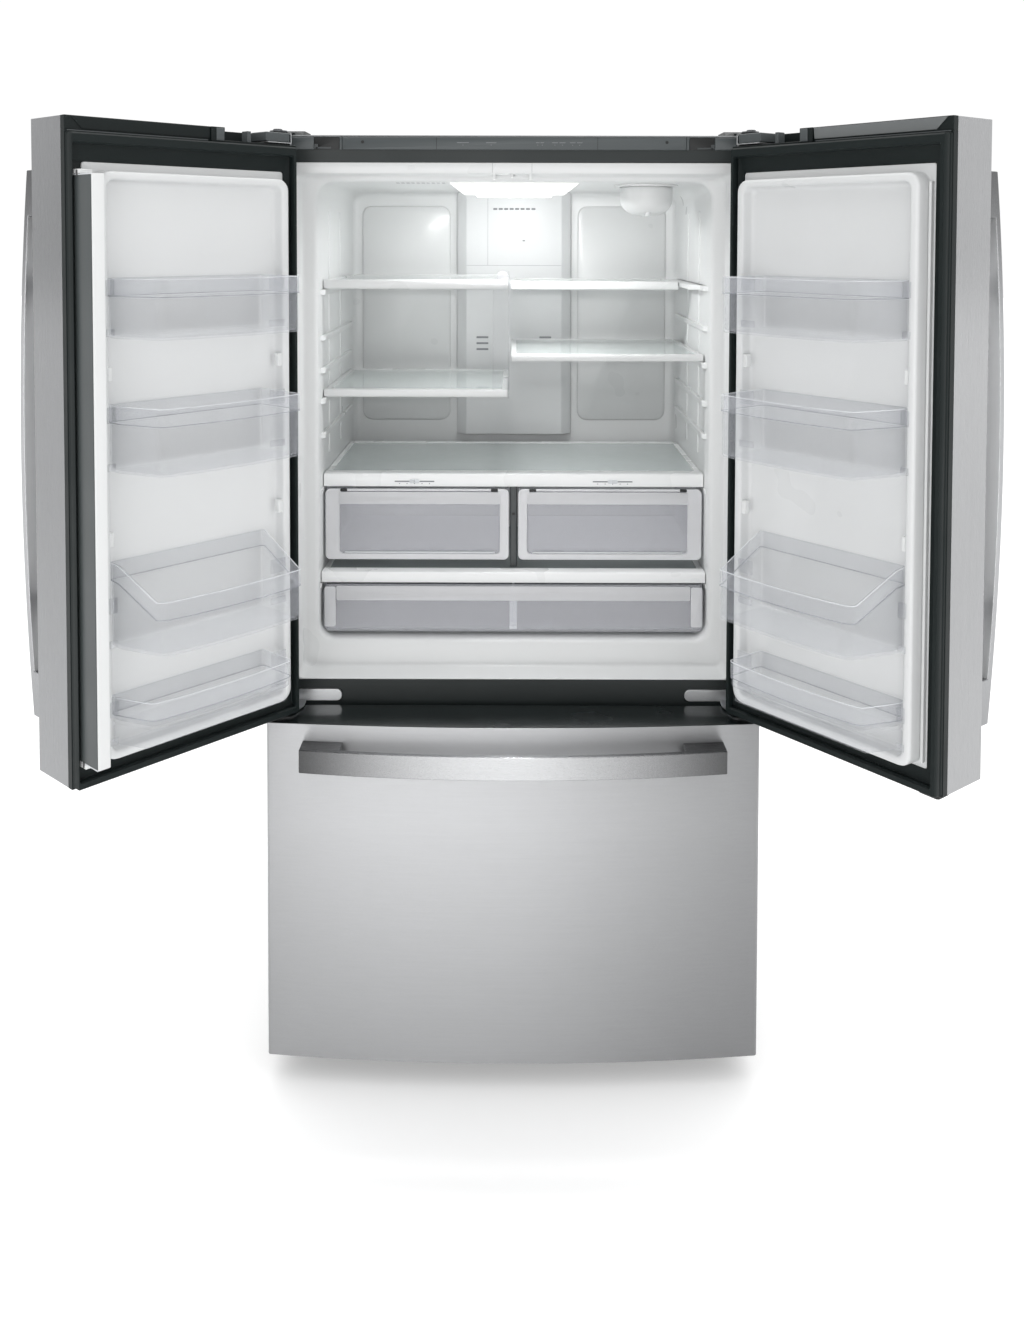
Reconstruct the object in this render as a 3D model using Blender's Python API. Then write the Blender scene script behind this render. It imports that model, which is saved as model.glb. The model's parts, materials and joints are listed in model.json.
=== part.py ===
"""A french door refrigerator: steel cabinet, two doors with bins, crispers and a freezer drawer.

Everything is drawn with the doors and drawers shut, in metres: x runs across, y runs back from the
cabinet's front face, z runs up from the floor. Each moving piece hangs from an empty on its joint's
axis, and the two doors' empties are then turned to stand open.
"""
import math

import bmesh
import bpy
from mathutils import Matrix

# Driving dimensions
CASE_HALF = 0.454
CASE_DEPTH = 0.745
CASE_LOW = 0.060
CASE_TOP = 1.757
FRONT_SHIFT = -0.1550
LEFT_OPEN = math.radians(132.0)
RIGHT_OPEN = math.radians(128.0)
GAP = 0.0003
SHEET = 0.003
MOULDING = 0.003

# Fresh food compartment
LINER_HALF = 0.416
LINER_LOW = 0.717
LINER_TOP = 1.706
RECESS_DEPTH = 0.065
INNER_HALF = 0.383
INNER_LOW = 0.772
INNER_TOP = 1.672
INNER_BACK = 0.585

# Freezer compartment
FREEZER_HALF = 0.425
FREEZER_LOW = 0.0853
FREEZER_TOP = 0.6417
FREEZER_BACK = 0.503

# Doors and drawer front
DOOR_LOW = 0.682
DOOR_TOP = 1.755
DOOR_FREE_X = -0.0038
DOOR_REAR = -0.037
DOOR_FLANGE = -0.024
EDGE_OUT = 0.098
DOOR_BULGE = 0.032
DRAWER_BULGE = 0.025
DRAWER_LOW = 0.046
DRAWER_TOP = 0.673
DRAWER_FLANGE = -0.014
SKIN = 0.002
TRAY_WALL = 0.005
PIVOT_X = -0.4355
PIVOT_Y = -0.0535
PIN_RADIUS = 0.006
PIN_HOLE = 0.008

# The flipper that closes the gap between the doors
FLIP_LOW = 0.730
FLIP_TOP = 1.662
FLIP_AXIS = (-0.01175, 0.00175)

# Handles
HANDLE_WIDTH = 0.042
HANDLE_THICK = 0.012
HANDLE_POST = 0.075

# Bins on one door: low, rim, depth at the ends, depth in the middle, rise at the back. The last one
# steps in below TOE_TOP, to pass over the ridge at the front of the compartment's floor.
BINS = (
    (1.402, 1.498, 0.104, 0.115, 0.0),
    (1.187, 1.295, 0.104, 0.115, 0.0),
    (0.903, 0.990, 0.104, 0.114, 0.050),
    (0.745, 0.822, 0.074, 0.083, 0.0),
)
TOE_TOP = 0.776
TOE_DEPTH = 0.060
BIN_SIDES = (-0.3645, -0.0642)


def clear_scene():
    for thing in list(bpy.data.objects):
        bpy.data.objects.remove(thing, do_unlink=True)


def finish(name, colour, roughness, metallic=0.0, alpha=1.0):
    made = bpy.data.materials.new(name)
    made.use_nodes = True
    shader = made.node_tree.nodes["Principled BSDF"]
    shader.inputs["Base Color"].default_value = (*colour, 1.0)
    shader.inputs["Roughness"].default_value = roughness
    shader.inputs["Metallic"].default_value = metallic
    shader.inputs["Alpha"].default_value = alpha
    return made


# Shapes

AXES = {
    "x": lambda a, b, along: (along, a, b),
    "y": lambda a, b, along: (a, along, b),
    "z": lambda a, b, along: (a, b, along),
}


def prism(outline, low, high, axis="z"):
    """The outline, given as pairs across the axis, run along the axis from low to high."""
    place = AXES[axis]
    shape = bmesh.new()
    base = shape.faces.new([shape.verts.new(place(a, b, low)) for a, b in outline])
    grown = bmesh.ops.extrude_face_region(shape, geom=[base])["geom"]
    moved = [item for item in grown if isinstance(item, bmesh.types.BMVert)]
    bmesh.ops.translate(shape, verts=moved, vec=place(0.0, 0.0, high - low))
    bmesh.ops.recalc_face_normals(shape, faces=shape.faces)
    return shape


def box(x0, x1, y0, y1, z0, z1):
    return prism([(x0, y0), (x1, y0), (x1, y1), (x0, y1)], z0, z1)


def circle(centre, radius, steps=20):
    turns = [2.0 * math.pi * step / steps for step in range(steps)]
    return [(centre[0] + radius * math.cos(t), centre[1] + radius * math.sin(t)) for t in turns]


def rod(centre, radius, low, high, axis="z", steps=20):
    return prism(circle(centre, radius, steps), low, high, axis)


def turned(profile, centre, axis="z", steps=24):
    """A profile of radius and height pairs, from one pole to the other, turned about the axis."""
    place = AXES[axis]
    shape = bmesh.new()
    rings = []
    for radius, height in profile:
        if radius == 0.0:
            rings.append([shape.verts.new(place(*centre, height))])
        else:
            rings.append([shape.verts.new(place(a, b, height)) for a, b in circle(centre, radius, steps)])
    for low, high in zip(rings, rings[1:]):
        for step in range(steps):
            after = (step + 1) % steps
            if len(low) == 1:
                corners = (low[0], high[after], high[step])
            elif len(high) == 1:
                corners = (low[step], low[after], high[0])
            else:
                corners = (low[step], low[after], high[after], high[step])
            shape.faces.new(corners)
    bmesh.ops.recalc_face_normals(shape, faces=shape.faces)
    return shape


def ring(outer, inner, low, high):
    """A rectangular frame standing in the x-z plane: outer and inner are (x0, x1, z0, z1)."""
    return box(*outer[:2], low, high, *outer[2:]), box(*inner[:2], low - 0.01, high + 0.01, *inner[2:])


# Placing

def pivot_empty(name, point, parent=None, turn=0.0):
    """An empty on a joint's axis, at a point given in the shut refrigerator's coordinates."""
    empty = bpy.data.objects.new(name, None)
    bpy.context.collection.objects.link(empty)
    empty.empty_display_size = 0.05
    empty["pivot"] = point
    if parent:
        empty.parent = parent
        empty.location = [here - there for here, there in zip(point, parent["pivot"])]
    else:
        empty.location = point
    empty.rotation_euler.z = turn
    return empty


def add_object(name, shape, parent, mirrored):
    if mirrored:
        bmesh.ops.scale(shape, verts=shape.verts, vec=(-1.0, 1.0, 1.0))
        bmesh.ops.reverse_faces(shape, faces=shape.faces)
    mesh = bpy.data.meshes.new(name)
    shape.to_mesh(mesh)
    shape.free()
    made = bpy.data.objects.new(name, mesh)
    bpy.context.collection.objects.link(made)
    made.parent = parent
    made.location = [-value for value in parent["pivot"]]
    return made


def solid(name, parent, look, shapes, cuts=(), extras=(), mirrored=False, smooth=False):
    """The first shape, joined with the others, less the cuts, then joined with the extras."""
    body = add_object(name, shapes[0], parent, mirrored)
    body.data.materials.append(look)
    if smooth:
        body.data.shade_smooth()
        body.data.set_sharp_from_angle(angle=math.radians(35.0))
    for stage, operation, pieces in (("base", "UNION", shapes[1:]), ("cut", "DIFFERENCE", cuts),
                                     ("extra", "UNION", extras)):
        for number, piece in enumerate(pieces):
            helper = add_object(f"guide.{name}.{stage}.{number}", piece, parent, mirrored)
            helper.hide_render = True
            helper.display_type = "WIRE"
            change = body.modifiers.new(helper.name, "BOOLEAN")
            change.operation = operation
            change.object = helper
    return body


# Outlines shared by the doors and the drawer front

def front_y(x, bulge):
    """The bowed front's y at x: EDGE_OUT proud at the sides, and the bulge more in the middle."""
    radius = (CASE_HALF ** 2 + bulge ** 2) / (2.0 * bulge)
    return -(EDGE_OUT + bulge) + radius - math.sqrt(radius ** 2 - x ** 2)


def front_profile(x0, x1, bulge, rear, inset, corner):
    """From the rear of the x0 side, round the bowed front, to the rear of the x1 side."""
    points = [(x0 + inset, rear)]
    bend = max(corner - inset, 0.001)
    left, right = x0 + inset + bend, x1 - inset - bend
    for turn in (0.0, 30.0, 60.0):
        angle = math.radians(180.0 + turn)
        middle = front_y(left, bulge) + inset + bend
        points.append((left + bend * math.cos(angle), middle + bend * math.sin(angle)))
    steps = 8
    for step in range(steps + 1):
        x = left + (right - left) * step / steps
        points.append((x, front_y(x, bulge) + inset))
    for turn in (30.0, 60.0, 90.0):
        angle = math.radians(270.0 + turn)
        middle = front_y(right, bulge) + inset + bend
        points.append((right + bend * math.cos(angle), middle + bend * math.sin(angle)))
    points.append((x1 - inset, rear))
    return points


def skin_outline(x0, x1, bulge, corner):
    outside = front_profile(x0, x1, bulge, DOOR_REAR, 0.0, corner)
    inside = front_profile(x0, x1, bulge, DOOR_REAR, SKIN, corner)
    return outside + inside[::-1]


def core_outline(x0, x1, bulge, corner, flange):
    """Inside the skin, and then out to its full width as a flange behind it."""
    step = DOOR_REAR + GAP
    inside = front_profile(x0, x1, bulge, step, SKIN + GAP, corner)
    return inside + [(x1, step), (x1, flange), (x0, flange), (x0, step)]


def handle_outline(half, end_out, middle_out, face, steps=12):
    """Pairs of (distance along, distance out) of a bowed bar on two end posts."""
    def bow(along):
        return middle_out - (middle_out - end_out) * (along / half) ** 2

    inside = half - HANDLE_POST
    outer = [-half + 2.0 * half * step / steps for step in range(steps + 1)]
    inner = [inside - 2.0 * inside * step / steps for step in range(steps + 1)]
    points = [(-half, face(-half))] + [(along, bow(along)) for along in outer]
    points += [(half, face(half)), (inside, face(inside))]
    points += [(along, bow(along) - HANDLE_THICK) for along in inner]
    return points + [(-inside, face(-inside))]


def inset_outline(outline, distance):
    """The same convex outline, counter-clockwise, with every side moved in by the distance."""
    moved = []
    count = len(outline)
    for number, (px, py) in enumerate(outline):
        ax, ay = outline[number - 1]
        bx, by = outline[(number + 1) % count]
        before = math.atan2(py - ay, px - ax)
        after = math.atan2(by - py, bx - px)
        turn = math.remainder(after - before, 2.0 * math.pi)
        middle = before + turn / 2.0 + math.pi / 2.0
        reach = distance / math.cos(turn / 2.0)
        moved.append((px + reach * math.cos(middle), py + reach * math.sin(middle)))
    return moved


# Cabinet

def make_cabinet(cabinet, looks):
    half, top = CASE_HALF, CASE_TOP
    wrap = [(-half, CASE_LOW), (-half, top), (half, top), (half, CASE_LOW)]
    wrap += [(half - SHEET, CASE_LOW), (half - SHEET, top - SHEET)]
    wrap += [(-half + SHEET, top - SHEET), (-half + SHEET, CASE_LOW)]
    solid("cabinet_shell", cabinet, looks["case"], [prism(wrap, 0.0, CASE_DEPTH - SHEET, "y")])
    back = CASE_DEPTH - SHEET + GAP
    rear = box(-half, half, back, CASE_DEPTH, 0.300, top)
    solid("back_panel", cabinet, looks["zinc"], [rear])
    vents = []
    for number in range(12):
        x = -0.330 + 0.060 * number
        vents.append(box(x, x + 0.010, back - 0.010, back + 0.010, 0.120, 0.240))
    cover = box(-0.430, 0.430, back, CASE_DEPTH, 0.072, 0.2995)
    solid("machine_cover", cabinet, looks["zinc"], [cover], cuts=vents)

    plate, fresh_hole = ring(
        (-half + SHEET + GAP, half - SHEET - GAP, CASE_LOW + 0.0005, top - SHEET - GAP),
        (-LINER_HALF - GAP, LINER_HALF + GAP, LINER_LOW - GAP, LINER_TOP + GAP), 0.0, 0.012)
    freezer_hole = box(-FREEZER_HALF - GAP, FREEZER_HALF + GAP, -0.01, 0.02,
                       FREEZER_LOW - GAP, FREEZER_TOP + GAP)
    pockets = []
    for side in (-1.0, 1.0):
        across = sorted((side * 0.4488, side * 0.3277))
        pockets.append(box(*across, -0.01, 0.0028, 0.6752, 0.6993))
    solid("front_frame", cabinet, looks["dark"], [plate], cuts=[fresh_hole, freezer_hole, *pockets])
    panel = box(-0.324, 0.324, -0.004, -GAP, 1.7295, 1.7530)
    solid("control_panel", cabinet, looks["panel"], [panel])


def shelf_ledges():
    """Ledges moulded on the fresh food liner's side walls, one pair under each shelf or cover."""
    wall = INNER_HALF + 0.001
    ledges = []
    for x_in, z_top, y0, y1 in (
        (-0.373, 1.4607, 0.14, 0.52), (-0.373, 1.2437, 0.14, 0.52),
        (0.373, 1.3162, 0.14, 0.52), (-0.379, 1.0632, 0.14, 0.52),
        (0.379, 1.0632, 0.14, 0.52), (-0.379, 0.8777, 0.10, 0.50),
        (0.379, 0.8777, 0.10, 0.50), (0.3525, 1.4700, 0.135, 0.56),
        (-0.373, 1.3700, 0.14, 0.52), (0.373, 1.3900, 0.14, 0.52),
    ):
        x0, x1 = sorted((x_in, math.copysign(wall, x_in)))
        ledges.append(box(x0, x1, y0, y1, z_top - 0.012, z_top))
    return ledges


def make_liners(cabinet, looks):
    wall = MOULDING
    outer = box(-LINER_HALF, LINER_HALF, 0.0, RECESS_DEPTH + wall, LINER_LOW, LINER_TOP)
    tub = box(-INNER_HALF - wall, INNER_HALF + wall, 0.02, INNER_BACK + wall,
              INNER_LOW - wall, INNER_TOP + wall)
    mouth = box(-LINER_HALF + wall, LINER_HALF - wall, -0.01, RECESS_DEPTH, LINER_LOW + wall, 1.685)
    inside = box(-INNER_HALF, INNER_HALF, 0.03, INNER_BACK, INNER_LOW, INNER_TOP)
    solid("fresh_food_liner", cabinet, looks["liner"], [outer, tub], cuts=[mouth, inside],
          extras=shelf_ledges())

    block = box(-FREEZER_HALF, FREEZER_HALF, 0.0, FREEZER_BACK, FREEZER_LOW, FREEZER_TOP)
    hollow = box(-FREEZER_HALF + wall, FREEZER_HALF - wall, -0.01, FREEZER_BACK - wall,
                 FREEZER_LOW + wall, FREEZER_TOP - wall)
    solid("freezer_liner", cabinet, looks["liner"], [block], cuts=[hollow])

    lens = [(-0.128, 1.6717), (-0.103, 1.646), (0.103, 1.646), (0.128, 1.6717)]
    solid("light_lens", cabinet, looks["lens"], [prism(lens, 0.090, 0.160, "y")])
    duct = [(-0.134, 0.5847), (-0.134, 0.575), (-0.112, 0.556), (0.112, 0.556), (0.134, 0.575),
            (0.134, 0.5847)]
    solid("air_duct_cover", cabinet, looks["liner"], [prism(duct, 1.100, 1.6717)])


def make_base(cabinet, looks):
    floor, rail_low = CASE_LOW - 0.003, 0.010
    shapes = [box(-0.450, 0.450, 0.004, 0.740, floor - 0.003, floor)]
    shapes.append(box(-0.440, 0.440, 0.004, 0.010, 0.012, floor - 0.001))
    cuts = [box(-0.40 + 0.05 * n, -0.37 + 0.05 * n, 0.0, 0.02, 0.022, 0.042) for n in range(17)]
    for x0, x1 in ((-0.436, -0.430), (0.430, 0.436)):
        shapes.append(box(x0, x1, 0.620, 0.690, rail_low, floor - 0.001))
    y, radius = 0.655, 0.025
    cuts.append(rod((y, radius), 0.0045, -0.45, 0.45, "x", 12))
    spin = pivot_empty("rear_rollers_axis", (0.0, y, radius), cabinet)
    wheels = [rod((y, radius), 0.004, -0.438, 0.438, "x", 12)]
    wheels += [rod((y, radius), radius, x - 0.010, x + 0.010, "x", 28) for x in (-0.41, 0.41)]
    solid("rear_rollers", spin, looks["roller"], wheels, smooth=True)
    solid("base_frame", cabinet, looks["dark"], shapes, cuts=cuts)
    for name, x in (("levelling_leg_left", -0.385), ("levelling_leg_right", 0.385)):
        screw = rod((x, 0.040), 0.006, 0.008, floor - 0.003 - GAP, "z", 12)
        solid(name, cabinet, looks["zinc"], [rod((x, 0.040), 0.018, 0.0, 0.010), screw], smooth=True)

    pot = [(0.0, CASE_LOW), (0.080, CASE_LOW), (0.086, 0.085), (0.086, 0.175), (0.078, 0.205),
           (0.050, 0.226), (0.0, 0.232)]
    solid("compressor", cabinet, looks["black"], [turned(pot, (-0.220, 0.615))], smooth=True)
    axis = (0.62, 0.165)
    centre = (0.065, *axis)
    spin = pivot_empty("condenser_fan_axis", centre, cabinet)
    blades = [rod(axis, 0.020, 0.045, 0.085, "x", 16)]
    blades += [fan_blade(centre, 2.0 * math.pi * blade / 5.0) for blade in range(5)]
    solid("condenser_fan", spin, looks["black"], blades)


def fan_blade(centre, angle):
    """A flat blade, pitched on the hub and turned to its place around the fan's axis."""
    shape = box(-0.0015, 0.0015, -0.022, 0.022, 0.012, 0.068)
    pitch = Matrix.Rotation(math.radians(32.0), 4, "Z")
    turn = Matrix.Rotation(angle, 4, "X")
    bmesh.ops.transform(shape, matrix=Matrix.Translation(centre) @ turn @ pitch, verts=shape.verts)
    return shape


# Inside the fresh food compartment

def shelf_shapes(x0, x1, y0, y1, low, high, trim=0.014):
    """A glass panel held in a moulded frame."""
    glass = high - 0.007
    return [
        box(x0, x1, y0, y0 + trim, low, high),
        box(x0, x0 + 0.010, y0 + 0.001, y1, low + 0.002, high - 0.002),
        box(x1 - 0.010, x1, y0 + 0.001, y1, low + 0.002, high - 0.002),
        box(x0, x1, y1 - 0.012, y1, low + 0.002, high - 0.001),
        box(x0 + 0.001, x1 - 0.001, y0 + 0.001, y1 - 0.001, glass, glass + 0.004),
    ]


def tray_shapes(x0, x1, y0, y1, z0, z1, wall=0.003):
    """A drawer's tub and the hollow inside it, open at the top."""
    lip = box(x0, x1, y0 - 0.006, y0 + 0.004, z1 - 0.028, z1 - 0.004)
    hollow = box(x0 + wall, x1 - wall, y0 + wall, y1 - wall, z0 + wall, z1 + 0.01)
    return [box(x0, x1, y0, y1, z0, z1), lip], [hollow]


def make_interior(cabinet, looks):
    shelf = looks["shelf"]
    side, centre = 0.3815, 0.0125
    solid("left_upper_shelf", cabinet, shelf, shelf_shapes(-side, -centre, 0.128, 0.520, 1.461, 1.480))
    solid("left_lower_shelf", cabinet, shelf, shelf_shapes(-side, -centre, 0.128, 0.520, 1.244, 1.260))
    solid("right_lower_shelf", cabinet, shelf, shelf_shapes(-0.0055, 0.380, 0.128, 0.520, 1.3165, 1.3310))
    slide = pivot_empty("half_shelf_axis", (0.173, 0.300, 1.463), cabinet)
    solid("half_depth_shelf", slide, shelf, shelf_shapes(-0.006, 0.352, 0.300, 0.520, 1.4530, 1.4720))

    solid("crisper_cover", cabinet, shelf, shelf_shapes(-side, side, 0.124, 0.520, 1.0635, 1.0905, 0.030))
    for name, x in (("humidity_slider_left", -0.199), ("humidity_slider_right", 0.199)):
        slide = pivot_empty(name + "_axis", (x, 0.122, 1.079), cabinet)
        knob = [box(x - 0.016, x + 0.016, 0.1217, 0.124 - GAP, 1.075, 1.083)]
        knob.append(box(x - 0.003, x + 0.003, 0.1197, 0.1220, 1.076, 1.082))
        solid(name, slide, looks["slider"], knob)
    for name, x0, x1 in (("crisper_left", -0.3780, -0.0095), ("crisper_right", 0.0095, 0.3780)):
        slide = pivot_empty(name + "_axis", ((x0 + x1) / 2.0, 0.122, 0.99), cabinet)
        shapes, cuts = tray_shapes(x0, x1, 0.127, 0.500, 0.9165, 1.0595)
        solid(name, slide, looks["clear"], shapes, cuts)
    solid("deli_cover", cabinet, shelf, shelf_shapes(-side, side, 0.090, 0.500, 0.8780, 0.9000, 0.030))
    slide = pivot_empty("deli_drawer_axis", (0.0, 0.092, 0.83), cabinet)
    shapes, cuts = tray_shapes(-0.3780, 0.3780, 0.097, 0.490, 0.7795, 0.8740)
    divider = box(-0.0025, 0.0025, 0.099, 0.488, 0.7810, 0.8640)
    solid("deli_drawer", slide, looks["clear"], shapes, cuts, extras=[divider])

    at = (0.268, 0.170)
    cup = [(0.0, 1.608), (0.024, 1.608), (0.040, 1.614), (0.049, 1.626), (0.052, 1.642),
           (0.052, 1.6665), (0.047, 1.6675), (0.047, 1.6717), (0.0, 1.6717)]
    turn = pivot_empty("filter_axis", (*at, 1.64), cabinet)
    grip = box(at[0] - 0.005, at[0] + 0.005, at[1] - 0.040, at[1] + 0.040, 1.604, 1.612)
    solid("water_filter", turn, looks["liner"], [turned(cup, at), grip], smooth=True)


# Hinges

def make_hinges(cabinet, looks):
    for side, mirrored in (("left", False), ("right", True)):
        plate = box(-0.450, -0.418, -0.068, 0.130, CASE_TOP + GAP, 1.7603)
        pin = rod((PIVOT_X, PIVOT_Y), PIN_RADIUS, 1.738, 1.7583)
        solid(f"top_hinge_{side}", cabinet, looks["hinge"], [plate, pin], mirrored=mirrored)
        hood = [(0.004, CASE_TOP + GAP), (0.004, 1.764), (0.100, 1.766), (0.120, 1.775),
                (0.190, 1.775), (0.190, CASE_TOP + GAP)]
        under = box(-0.4505, -0.4165, -0.01, 0.1325, 1.75, 1.7610)
        cover = prism(hood, -0.453, -0.414, "x")
        solid(f"hinge_cover_{side}", cabinet, looks["dark"], [cover], cuts=[under], mirrored=mirrored)
        tongue = box(-0.417, -0.328, -0.0005, 0.0025, 0.6755, 0.6990)
        arm = box(-0.4485, -0.395, -0.066, 0.0025, 0.6755, 0.6795)
        pin = rod((PIVOT_X, PIVOT_Y), PIN_RADIUS, 0.6785, 0.697)
        solid(f"centre_hinge_{side}", cabinet, looks["hinge"], [arm, tongue, pin], mirrored=mirrored)


# Doors

def bin_outline(depth_end, depth_middle):
    """Plan of a door bin, counter-clockwise: flat back, bowed front, one corner cut off."""
    x0, x1 = BIN_SIDES
    back = -0.0112
    corner = x1 - 0.024
    points = [(x0, depth_end), (x0, back), (x1, back), (x1, depth_end - 0.062)]
    steps = 6
    for step in range(steps):
        along = 1.0 - 2.0 * step / steps
        x = (x0 + corner) / 2.0 + along * (corner - x0) / 2.0
        points.append((x, depth_end + (depth_middle - depth_end) * (1.0 - along ** 2)))
    return points


def make_bin(name, parent, look, mirrored, low, rim, depth_end, depth_middle, rise):
    outline = bin_outline(depth_end, depth_middle)
    wall = 0.0025
    inside = inset_outline(outline, wall)
    floor = low + wall
    cuts = []
    if low < TOE_TOP:
        floor = TOE_TOP + wall
        cuts.append(box(-0.5, 0.0, TOE_DEPTH, 0.2, low - 0.01, TOE_TOP))
        toe = box(BIN_SIDES[0] + wall, BIN_SIDES[1] - wall, -0.0112 + wall, TOE_DEPTH - wall,
                  low + wall, floor + 0.001)
        cuts.append(toe)
    cuts.append(prism(inside, floor, rim + rise + 0.01))
    if rise:
        slope = [(0.012, rim + rise), (0.070, rim), (0.2, rim), (0.2, rim + rise + 0.01),
                 (0.012, rim + rise + 0.01)]
        cuts.append(prism(slope, -0.5, 0.0, "x"))
    solid(name, parent, look, [prism(outline, low, rim + rise)], cuts, mirrored=mirrored)


def make_door(side, mirrored, cabinet, looks):
    mirror = -1.0 if mirrored else 1.0
    turn = RIGHT_OPEN if mirrored else -LEFT_OPEN
    door = pivot_empty(f"{side}_door_axis", (mirror * PIVOT_X, PIVOT_Y, 1.2), cabinet, turn)
    x0, x1 = -CASE_HALF, DOOR_FREE_X

    skin = prism(skin_outline(x0, x1, DOOR_BULGE, 0.006), DOOR_LOW, DOOR_TOP)
    solid(f"{side}_door_skin", door, looks["steel"], [skin], mirrored=mirrored, smooth=True)
    core = prism(core_outline(x0, x1, DOOR_BULGE, 0.006, DOOR_FLANGE), DOOR_LOW, DOOR_TOP)
    inside = front_profile(x0, x1, DOOR_BULGE, 0.0, SKIN + GAP + TRAY_WALL, 0.006)
    hollow = prism(inside, DOOR_LOW + 0.018, DOOR_TOP - 0.018)
    holes = [rod((PIVOT_X, PIVOT_Y), PIN_HOLE, DOOR_TOP - 0.03, DOOR_TOP + 0.01),
             rod((PIVOT_X, PIVOT_Y), PIN_HOLE, DOOR_LOW - 0.01, DOOR_LOW + 0.03)]
    solid(f"{side}_door_frame", door, looks["dark"], [core], [hollow, *holes], mirrored=mirrored)

    flange = box(-0.4208, -0.0303, DOOR_FLANGE + GAP, -0.0207, 0.7195, 1.6826)
    dyke = box(-0.4115, -0.0425, -0.0215, 0.0125, 0.7225, 1.6690)
    well = box(-0.3950, -0.0560, -0.0115, 0.05, 0.7375, 1.6540)
    shapes, cuts = [flange, dyke], [well]
    if not mirrored:
        for z0 in (FLIP_LOW - 0.0077, FLIP_TOP + GAP):
            shapes.append(box(-0.0335, -0.0102, -0.0215, 0.0080, z0, z0 + 0.0074))
            cuts.append(rod(FLIP_AXIS, 0.0042, z0 - 0.002, z0 + 0.010, "z", 12))
    solid(f"{side}_door_liner", door, looks["liner"], shapes, cuts, mirrored=mirrored)
    seal_inside = -0.0300 if mirrored else -0.0098
    frame, hole = ring((-0.4415, -0.0048, 0.685, 1.7285), (-0.4245, seal_inside, 0.7190, 1.709),
                       DOOR_FLANGE + GAP, -0.0008)
    solid(f"{side}_door_gasket", door, looks["rubber"], [frame], [hole], mirrored=mirrored)

    outline = handle_outline(0.454, 0.1615, 0.1955, lambda along: 0.1306)
    bar = prism([(-out, 1.219 + along) for along, out in outline], -0.0515, -0.0515 + HANDLE_WIDTH, "x")
    solid(f"{side}_door_handle", door, looks["handle"], [bar], mirrored=mirrored, smooth=True)
    for number, sizes in enumerate(BINS, 1):
        make_bin(f"{side}_door_bin_{number}", door, looks["clear"], mirrored, *sizes)
    return door


def make_flipper(door, looks):
    """Rides folded on the left door's inner edge and swings flat across the gap as the doors shut."""
    axis = pivot_empty("flipper_axis", (*FLIP_AXIS, 1.2), door)
    bar = box(-0.0335, -0.0105, -0.0175, 0.0445, FLIP_LOW, FLIP_TOP)
    pins = [rod(FLIP_AXIS, 0.003, FLIP_LOW - 0.006, FLIP_LOW + 0.004, "z", 10),
            rod(FLIP_AXIS, 0.003, FLIP_TOP - 0.004, FLIP_TOP + 0.006, "z", 10)]
    solid("door_flipper", axis, looks["flipper"], [bar, *pins])


# Freezer drawer

def make_freezer(cabinet, looks):
    drawer = pivot_empty("freezer_drawer_axis", (0.0, -0.02, 0.36), cabinet)
    x = CASE_HALF
    skin = prism(skin_outline(-x, x, DRAWER_BULGE, 0.005), DRAWER_LOW, DRAWER_TOP)
    solid("freezer_front_skin", drawer, looks["steel"], [skin], smooth=True)
    core = prism(core_outline(-x, x, DRAWER_BULGE, 0.005, DRAWER_FLANGE), DRAWER_LOW, DRAWER_TOP)
    inside = front_profile(-x, x, DRAWER_BULGE, 0.0, SKIN + GAP + TRAY_WALL, 0.005)
    hollow = prism(inside, DRAWER_LOW + 0.010, DRAWER_TOP - 0.010)
    solid("freezer_front_frame", drawer, looks["black"], [core], [hollow])
    panel = box(-0.4265, 0.4265, DRAWER_FLANGE + GAP, -0.0107, 0.0830, 0.6475)
    solid("freezer_front_liner", drawer, looks["liner"], [panel])
    frame, hole = ring((-0.447, 0.447, 0.066, 0.667), (-0.4268, 0.4268, 0.0827, 0.6478),
                       DRAWER_FLANGE + GAP, -0.0008)
    solid("freezer_gasket", drawer, looks["rubber"], [frame], [hole])

    outline = handle_outline(0.386, 0.148, 0.178, lambda along: -front_y(along, DRAWER_BULGE) + GAP)
    bar = prism([(along, -out) for along, out in outline], 0.6000, 0.6000 + HANDLE_WIDTH)
    solid("freezer_handle", drawer, looks["handle"], [bar], smooth=True)

    slides = [box(-0.416, -0.392, -0.0104, 0.470, 0.290, 0.335)]
    slides.append(box(0.392, 0.416, -0.0104, 0.470, 0.290, 0.335))
    slides.append(box(-0.415, 0.415, 0.456, 0.469, 0.300, 0.325))
    solid("freezer_slides", drawer, looks["zinc"], slides)
    tub = box(-0.390, 0.390, -0.0104, 0.450, 0.120, 0.400)
    inside = box(-0.386, 0.386, -0.0064, 0.446, 0.124, 0.41)
    solid("freezer_lower_basket", drawer, looks["basket"], [tub], [inside])
    slide = pivot_empty("upper_basket_axis", (0.0, 0.02, 0.53), drawer)
    tub = box(-0.390, 0.390, 0.010, 0.400, 0.440, 0.610)
    inside = box(-0.386, 0.386, 0.014, 0.396, 0.444, 0.62)
    solid("freezer_upper_basket", slide, looks["basket"], [tub], [inside])


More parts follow.
